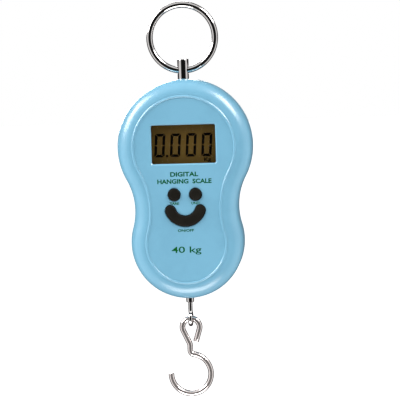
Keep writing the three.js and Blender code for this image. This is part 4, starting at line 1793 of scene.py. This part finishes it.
@dataclass(frozen=True)
class DisplayDigits:
    """The display's reading: four slanted seven-segment zeros and a decimal point."""

    height: float = 12.9
    width: float = 5.7
    pitch: float = 8.67
    stroke: float = 1.45
    gap: float = 0.16
    slant: float = 0.07
    left: float = -16.6
    bottom: float = -7.05
    lift: float = 0.04
    thickness: float = 0.05
    places: int = 4
    nick: float = 0.3
    dot: float = 1.2
    dot_share: float = 0.3

    def strokes(self) -> dict[Segment, list[Point]]:
        """Each stroke's corners, in a digit's own upright frame.

        Returns:
            The corners by stroke, with the digit's foot at zero.
        """
        width, height, stroke, gap = self.width, self.height, self.stroke, self.gap
        middle, nick = height / 2, self.nick
        chamfer = stroke * 0.55
        upper_left = [
            (0, middle + gap), (stroke * 0.5, middle + gap), (stroke, middle + gap + chamfer * 0.5),
            (stroke, height - stroke - gap), (nick, height - nick - gap), (0, height - chamfer),
        ]
        top = [
            (nick + gap, height), (width - nick - gap, height), (width - stroke - gap, height - stroke),
            (stroke + gap, height - stroke),
        ]

        def across(points: list[Point]) -> list[Point]:
            """The points mirrored to the digit's other side."""
            return [(width - x, z) for x, z in points]

        def below(points: list[Point]) -> list[Point]:
            """The points mirrored to the digit's lower half."""
            return [(x, height - z) for x, z in points]

        return {
            Segment.TOP: top,
            Segment.BOTTOM: below(top),
            Segment.UPPER_LEFT: upper_left,
            Segment.UPPER_RIGHT: across(upper_left),
            Segment.LOWER_LEFT: below(upper_left),
            Segment.LOWER_RIGHT: across(below(upper_left)),
        }

    def build(self, finishes: Finishes) -> bpy.types.Object:
        """Models and dresses the reading on the face of the display glass.

        Args:
            finishes: The scale's finishes.

        Returns:
            The piece.
        """
        low, high = box("lcd_panel")
        centre_z = (low.z + high.z) / 2
        face = low.y - self.lift
        bm = bmesh.new()
        shapes = []
        for place in range(self.places):
            shift = self.left + place * self.pitch
            for points in self.strokes().values():
                shapes.append([(x + z * self.slant + shift, z) for x, z in points])
        dot = self.dot
        dot_x = self.left + self.width + (self.pitch - self.width) * self.dot_share
        shapes.append([(dot_x, 0), (dot_x + dot, 0), (dot_x + dot, dot), (dot_x, dot)])
        for shape in shapes:
            verts = [bm.verts.new((x, face, centre_z + self.bottom + z)) for x, z in shape]
            bm.faces.new(verts)
        grown = bmesh.ops.extrude_face_region(bm, geom=list(bm.faces))["geom"]
        moved = [item for item in grown if isinstance(item, bmesh.types.BMVert)]
        bmesh.ops.translate(bm, verts=moved, vec=(0, -self.thickness, 0))
        reading = to_object(bm, "display_reading")
        finishes.dress(reading, "display_ink", "display_olive")
        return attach(reading, "housing")


@dataclass(frozen=True)
class Lettering:
    """One line of plain printed words."""

    name: str
    words: str
    x: float
    z: float
    height: float
    width: float
    finish: str = "ink_green"
    slot: str = "key_black"
    weight: float = 0.035
    thickness: float = 0.03

    def build(self, finishes: Finishes, face: float) -> bpy.types.Object:
        """Prints the line on a face that looks towards -Y.

        Args:
            finishes: The scale's finishes.
            face: The face's Y.

        Returns:
            The printed line.
        """
        curve = bpy.data.curves.new(self.name, "FONT")
        curve.body = self.words
        curve.extrude = half = 0.5
        curve.offset = self.weight
        curve.resolution_u = 4
        sheet = bpy.data.objects.new(self.name, curve)
        bpy.context.scene.collection.objects.link(sheet)
        graph = bpy.context.evaluated_depsgraph_get()
        mesh = bpy.data.meshes.new_from_object(sheet.evaluated_get(graph))
        bpy.data.objects.remove(sheet)
        xs = [vert.co.x for vert in mesh.vertices]
        ys = [vert.co.y for vert in mesh.vertices]
        middle = Vector(((min(xs) + max(xs)) / 2, (min(ys) + max(ys)) / 2, half))
        wide, tall = self.width / (max(xs) - min(xs)), self.height / (max(ys) - min(ys))
        size = Matrix.Diagonal((wide, tall, self.thickness, 1))
        upright = Matrix.Rotation(TURN / 4, 4, "X")
        place = Matrix.Translation((self.x, face, self.z))
        mesh.transform(place @ upright @ size @ Matrix.Translation(-middle))
        bm = bmesh.new()
        bm.from_mesh(mesh)
        bpy.data.meshes.remove(mesh)
        line = to_object(bm, self.name)
        finishes.dress(line, self.finish, self.slot)
        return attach(line, "housing")


@dataclass(frozen=True)
class Display:
    """The window and the display glass with its reading."""

    edge: float = 0.15
    unit_x: float = 12.9
    unit_drop: float = 9.1
    unit_height: float = 2.7
    unit_width: float = 3.9
    unit_lift: float = 0.05

    def pane(self, finishes: Finishes, name: str, node: str, finish: str) -> bpy.types.Object:
        """Models and dresses one pane with chamfered edges.

        Args:
            finishes: The scale's finishes.
            name: The pane's name.
            node: The CAD node that it stands in for.
            finish: Its finish.

        Returns:
            The pane.
        """
        low, high = box(node)
        bm = bmesh.new()
        add_block(bm, low, high, self.edge)
        pane = to_object(bm, name)
        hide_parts(node)
        finishes.dress(pane, finish)
        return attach(pane, "housing")

    def build(self, finishes: Finishes) -> None:
        """Models and dresses the display.

        Args:
            finishes: The scale's finishes.
        """
        self.pane(finishes, "window_lens", "display_window", "window_clear")
        self.pane(finishes, "display_glass", "lcd_panel", "display_olive")
        DisplayDigits().build(finishes)
        low, high = box("lcd_panel")
        unit_z = (low.z + high.z) / 2 - self.unit_drop
        unit = Lettering(
            "unit_sign", "Kg", self.unit_x, unit_z, self.unit_height, self.unit_width,
            finish="display_ink", slot="display_olive", weight=0.02,
        )
        unit.build(finishes, low.y - self.unit_lift)


@dataclass(frozen=True)
class PanelPrint:
    """The printing on the panel: plain words in dark green."""

    lift: float = 0.01

    def build(self, finishes: Finishes) -> None:
        """Prints every line.

        Args:
            finishes: The scale's finishes.
        """
        face = -FrontCover().depth() - self.lift
        eyes_z = (box("tare_key")[0].z + box("tare_key")[1].z) / 2
        eye_x = (box("unit_key")[0].x + box("unit_key")[1].x) / 2
        smile_low = box("power_key")[0].z
        lines = (
            Lettering("print_kind_upper", "DIGITAL", 0, eyes_z + 11.3, 2.6, 15.5),
            Lettering("print_kind_lower", "HANGING  SCALE", 0, eyes_z + 7.4, 2.6, 30),
            Lettering("print_tare", "TARE", -eye_x, eyes_z - 4.8, 1.4, 5.2),
            Lettering("print_unit", "UNIT", eye_x, eyes_z - 4.8, 1.4, 4.8),
            Lettering("print_power", "ON/OFF", 0, smile_low - 1.3, 1.5, 9.0),
            Lettering("print_capacity", "40 kg", 0, smile_low - 12.5, 4.6, 16.5, weight=0.012),
        )
        for line in lines:
            line.build(finishes, face)


# ------------------------------------------------------------------ ring, post, eye and hook


@dataclass(frozen=True)
class CarryRing:
    """The welded round-wire carry ring."""

    wire: float = 1.8
    steps: int = 144
    sides: int = 28

    def build(self, finishes: Finishes) -> bpy.types.Object:
        """Models and dresses the ring.

        Args:
            finishes: The scale's finishes.

        Returns:
            The piece.
        """
        low, high = box("carry_ring")
        radius = (high.z - low.z) / 2 - self.wire
        centre = (low + high) / 2
        place = Matrix.Translation(centre + Vector((radius, 0, 0)))
        bm = bmesh.new()
        bmesh.ops.create_circle(bm, segments=self.sides, radius=self.wire, matrix=place)
        bmesh.ops.spin(
            bm, geom=[*bm.verts, *bm.edges], cent=centre, axis=(0, 1, 0), dvec=(0, 0, 0), angle=TURN,
            steps=self.steps, use_merge=True, use_duplicate=False,
        )
        ring = to_object(bm, "ring_wire")
        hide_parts("carry_ring")
        finishes.dress(ring, "chrome")
        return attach(ring, "ring")


@dataclass(frozen=True)
class TopPost:
    """The round post with its cross hole."""

    chamfer: float = 0.5
    hole: float = 2.3
    hole_sides: int = 64
    drop: float = 6.2
    stud: float = 2.5
    shoulder_deep: float = 3.2
    flat_share: float = 0.6
    rows: int = 40
    sides: int = 96
    cutter_half: float = 10.0

    def build(self, finishes: Finishes) -> bpy.types.Object:
        """Models and dresses the post.

        Args:
            finishes: The scale's finishes.

        Returns:
            The piece.
        """
        low, high = box("top_post")
        radius = (high.x - low.x) / 2
        shoulder = box("front_cover")[1].z - self.shoulder_deep
        top = high.z - self.chamfer
        profile = [(0, low.z), (self.stud, low.z), (self.stud, shoulder)]
        profile += [(radius, shoulder + (top - shoulder) * row / self.rows) for row in range(self.rows + 1)]
        profile += [
            (radius - self.chamfer * (1 - math.cos(turn)), top + self.chamfer * math.sin(turn))
            for turn in quarter(5)[1:]
        ]
        profile += [(radius * self.flat_share, high.z), (0, high.z)]
        bm = bmesh.new()
        spin_profile(bm, profile, Vector((0, 0, 0)), Vector((0, 0, 1)), self.sides)
        post = to_object(bm, "post_bar")
        cutter = bmesh.new()
        level, half = high.z - self.drop, self.cutter_half
        add_bar(cutter, Vector((-half, 0, level)), Vector((half, 0, level)), self.hole, self.hole_sides)
        apply_tools(post, cutter, Work.CUT)
        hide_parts("top_post")
        finishes.dress(post, "chrome")
        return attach(post, "housing")


@dataclass(frozen=True)
class EyeBolt:
    """The eye bolt: a neck in the case's bottom hole, a shank and a bent wire eye."""

    neck: float = 2.25
    neck_edge: float = 0.3
    neck_below: float = 3.0
    neck_inside: float = 4.3
    rod: float = 2.0
    wire: float = 1.25
    overlap: float = 0.5
    eye: float = 3.35
    bend: float = 2.0
    opening: float = math.radians(72)
    sides: int = 48
    bend_steps: int = 10
    eye_steps: int = 56

    def build(self, finishes: Finishes) -> bpy.types.Object:
        """Models and dresses the eye bolt.

        Args:
            finishes: The scale's finishes.

        Returns:
            The piece.
        """
        low, high = box("eye_bolt")
        case_bottom = box("front_cover")[0].z
        foot, step = case_bottom - self.neck_below, case_bottom + self.neck_inside
        centre_z = low.z + self.eye + self.wire
        bm = bmesh.new()
        profile = [
            (0, foot), (self.neck - self.neck_edge, foot), (self.neck, foot + self.neck_edge),
            (self.neck, step), (self.rod, step), (self.rod, high.z), (0, high.z),
        ]
        spin_profile(bm, profile, Vector((0, 0, 0)), Vector((0, 0, 1)), self.sides)
        tangent = math.acos(self.bend / (self.bend + self.eye))
        bend_z = centre_z + (self.bend + self.eye) * math.sin(tangent)
        start = Vector((0, 0, foot + self.overlap))
        wire = WireForm(bm, self.wire, start, Vector((0, 0, -1)), Vector((1, 0, 0)))
        wire.start().straight(wire.place.z - bend_z)
        wire.turn(self.bend, tangent, self.bend_steps)
        wire.turn(self.eye, -(TURN - self.opening), self.eye_steps)
        wire.finish()
        bolt = to_object(bm, "eye_bolt_bar")
        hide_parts("eye_bolt")
        finishes.dress(bolt, "chrome")
        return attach(bolt, "housing")


@dataclass(frozen=True)
class LoadHook:
    """The hook: one wire with an open loop above and a round bowl below."""

    wire: float = 1.6
    loop: float = 4.85
    bowl: float = 11.2
    bowl_x: float = -0.7
    bend: float = 2.2
    shank_x: float = -0.8
    easing: float = 4.0
    leg_lean: float = math.radians(25)
    tail: float = 7.2
    tail_lean: float = math.radians(17)
    sides: int = 24
    loop_steps: int = 56
    easing_steps: int = 8
    bend_steps: int = 16
    bowl_steps: int = 96

    def build(self, finishes: Finishes) -> bpy.types.Object:
        """Models and dresses the hook.

        Args:
            finishes: The scale's finishes.

        Returns:
            The piece.
        """
        low, high = box("hook")
        top = high.z - self.wire
        loop_z = top - self.loop
        bowl_z = low.z + self.wire + self.bowl
        bm = bmesh.new()
        # The tail leaves the loop along its tangent, so the wire starts one tail length below that point.
        tangent = -self.tail_lean
        touch = Vector((self.loop * math.cos(tangent), 0, loop_z + self.loop * math.sin(tangent)))
        heading = Vector((-math.sin(tangent), 0, math.cos(tangent)))
        wire = WireForm(bm, self.wire, touch - heading * self.tail, heading, Vector((0, -1, 0)), self.sides)
        wire.start().straight(self.tail - wire.radius * wire.crown)
        wire.turn(self.loop, TURN / 2 + self.tail_lean + self.leg_lean, self.loop_steps)
        # The leg runs straight to where an easing bend brings it upright above the reverse bend.
        upright_x = self.shank_x - self.easing * (1 - math.cos(self.leg_lean))
        leg = (upright_x - wire.place.x) / math.sin(self.leg_lean)
        wire.straight(leg)
        wire.turn(self.easing, -self.leg_lean, self.easing_steps)
        reach = self.bend + self.bowl
        aside = self.shank_x + self.bend - self.bowl_x
        bend_z = bowl_z + math.sqrt(reach ** 2 - aside ** 2)
        wire.straight(wire.place.z - bend_z)
        swing = math.atan2(bend_z - bowl_z, aside)
        wire.turn(self.bend, swing, self.bend_steps)
        wire.turn(self.bowl, -(swing + TURN / 2), self.bowl_steps)
        wire.finish()
        hook = to_object(bm, "hook_wire")
        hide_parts("hook")
        finishes.dress(hook, "nickel")
        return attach(hook, "load_hook")


# ------------------------------------------------------------------ power and the inside


@dataclass(frozen=True)
class Cells:
    """The two AAA cells in their bay."""

    radius: float = 5.25
    nub: float = 1.9
    nub_height: float = 0.8
    edge: float = 0.5
    sleeve: float = 0.2
    band: float = 12.0
    sides: int = 48

    def can(self, length: float) -> list[Point]:
        """The profile of the metal can with its nub.

        Args:
            length: The cell's length.

        Returns:
            (radius, height) pairs from the foot up.
        """
        radius, nub, top = self.radius, self.nub, length - self.nub_height
        return [
            (0, 0), (radius - 1.2, 0), (radius - 1, 0.3), (radius - self.edge, 0.3), (radius - 0.1, 0.6),
            (radius - 0.1, top - 0.6), (radius - self.edge, top - 0.2), (radius - 1, top), (nub, top),
            (nub, length - 0.2), (nub - 0.2, length), (0, length),
        ]

    def build(self, finishes: Finishes) -> None:
        """Models and dresses both cells, the right one upside down.

        Args:
            finishes: The scale's finishes.
        """
        for name, up in (("left", 1), ("right", -1)):
            node = f"battery_{name}"
            low, high = box(node)
            length = high.z - low.z
            foot = Vector(((low.x + high.x) / 2, (low.y + high.y) / 2, low.z if up > 0 else high.z))
            axis = Vector((0, 0, up))
            bm = bmesh.new()
            spin_profile(bm, self.can(length), foot, axis, self.sides)
            can = to_object(bm, f"{node}_can")
            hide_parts(node)
            finishes.dress(can, "zinc_steel", "cell_jacket")
            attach(can, "housing")
            outer, inner = self.radius, self.radius - self.sleeve
            top = length - self.nub_height
            seam = top - self.band
            sleeves = (
                ("jacket", "cell_jacket", [(inner, 0.8), (outer, 1), (outer, seam), (inner, seam)]),
                (
                    "jacket_band", "cell_band",
                    [(inner, seam), (outer, seam), (outer, top - 1), (inner, top - 0.8)],
                ),
            )
            for part, finish, profile in sleeves:
                bm = bmesh.new()
                self._sleeve(bm, profile, foot, axis)
                piece = to_object(bm, f"{node}_{part}")
                finishes.dress(piece, finish, "cell_jacket")
                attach(piece, "housing")

    def _sleeve(self, bm: bmesh.types.BMesh, profile: Sequence[Point], foot: Vector, axis: Vector) -> None:
        """Turns a closed profile into a closed sleeve.

        Args:
            bm: The mesh that takes the sleeve.
            profile: (radius, height) pairs round the sleeve's section.
            foot: The point where the height is zero.
            axis: The unit vector along which height grows.
        """
        across = axis.orthogonal().normalized()
        verts = [bm.verts.new(foot + across * radius + axis * height) for radius, height in profile]
        edges = [bm.edges.new(pair) for pair in zip(verts, [*verts[1:], verts[0]])]
        bmesh.ops.spin(
            bm, geom=[*verts, *edges], cent=foot, axis=axis, dvec=(0, 0, 0), angle=TURN, steps=self.sides,
            use_merge=True, use_duplicate=False,
        )


class Inside:
    """The pieces that the case hides: CAD nodes whose shape is right, given their finishes."""

    NODES: dict[str, tuple[str, ...]] = {
        # The holder's dark finish is painted shade for the window's recess.
        "holder_black": ("lcd_holder",),
        "rubber_grey": (
            "zebra_strip_lower", "zebra_strip_upper", "tare_plunger", "unit_plunger", "power_plunger",
        ),
        "board_green": ("main_board",),
        "epoxy_black": ("chip_cover", "tare_switch", "unit_switch", "power_switch"),
        "aluminium": ("load_cell",),
        "gauge_amber": ("strain_gauge_left", "strain_gauge_right"),
        "zinc_steel": (
            "post_nut", "eye_nut", "cell_screw_1", "cell_screw_2", "board_screw_1", "board_screw_2",
            "board_screw_3", "board_screw_4", "contact_bridge", "contact_positive", "contact_negative",
        ),
        "wire_red": ("lead_red",),
        "wire_black": ("lead_black",),
        "wire_white": ("gauge_lead",),
    }

    def build(self, finishes: Finishes) -> None:
        """Dresses every hidden node.

        Args:
            finishes: The scale's finishes.
        """
        for finish, nodes in self.NODES.items():
            finishes.dress_nodes(finish, *nodes)


# ------------------------------------------------------------------ the whole scale


def main() -> None:
    """Builds the studio and every sub-assembly in order."""
    Studio().build()
    log.info("studio ready")
    finishes = Finishes()
    log.info("%d finishes ready", len(finishes.materials))
    parts = (
        CarryRing(), TopPost(), FrontCover(), RearCover(), BatteryDoor(), CaseScrews(), Display(), *KEYS,
        PanelPrint(), EyeBolt(), LoadHook(), Cells(), Inside(),
    )
    for part in parts:
        part.build(finishes)
        log.info("%s done", type(part).__name__)


if __name__ == "__main__":
    main()
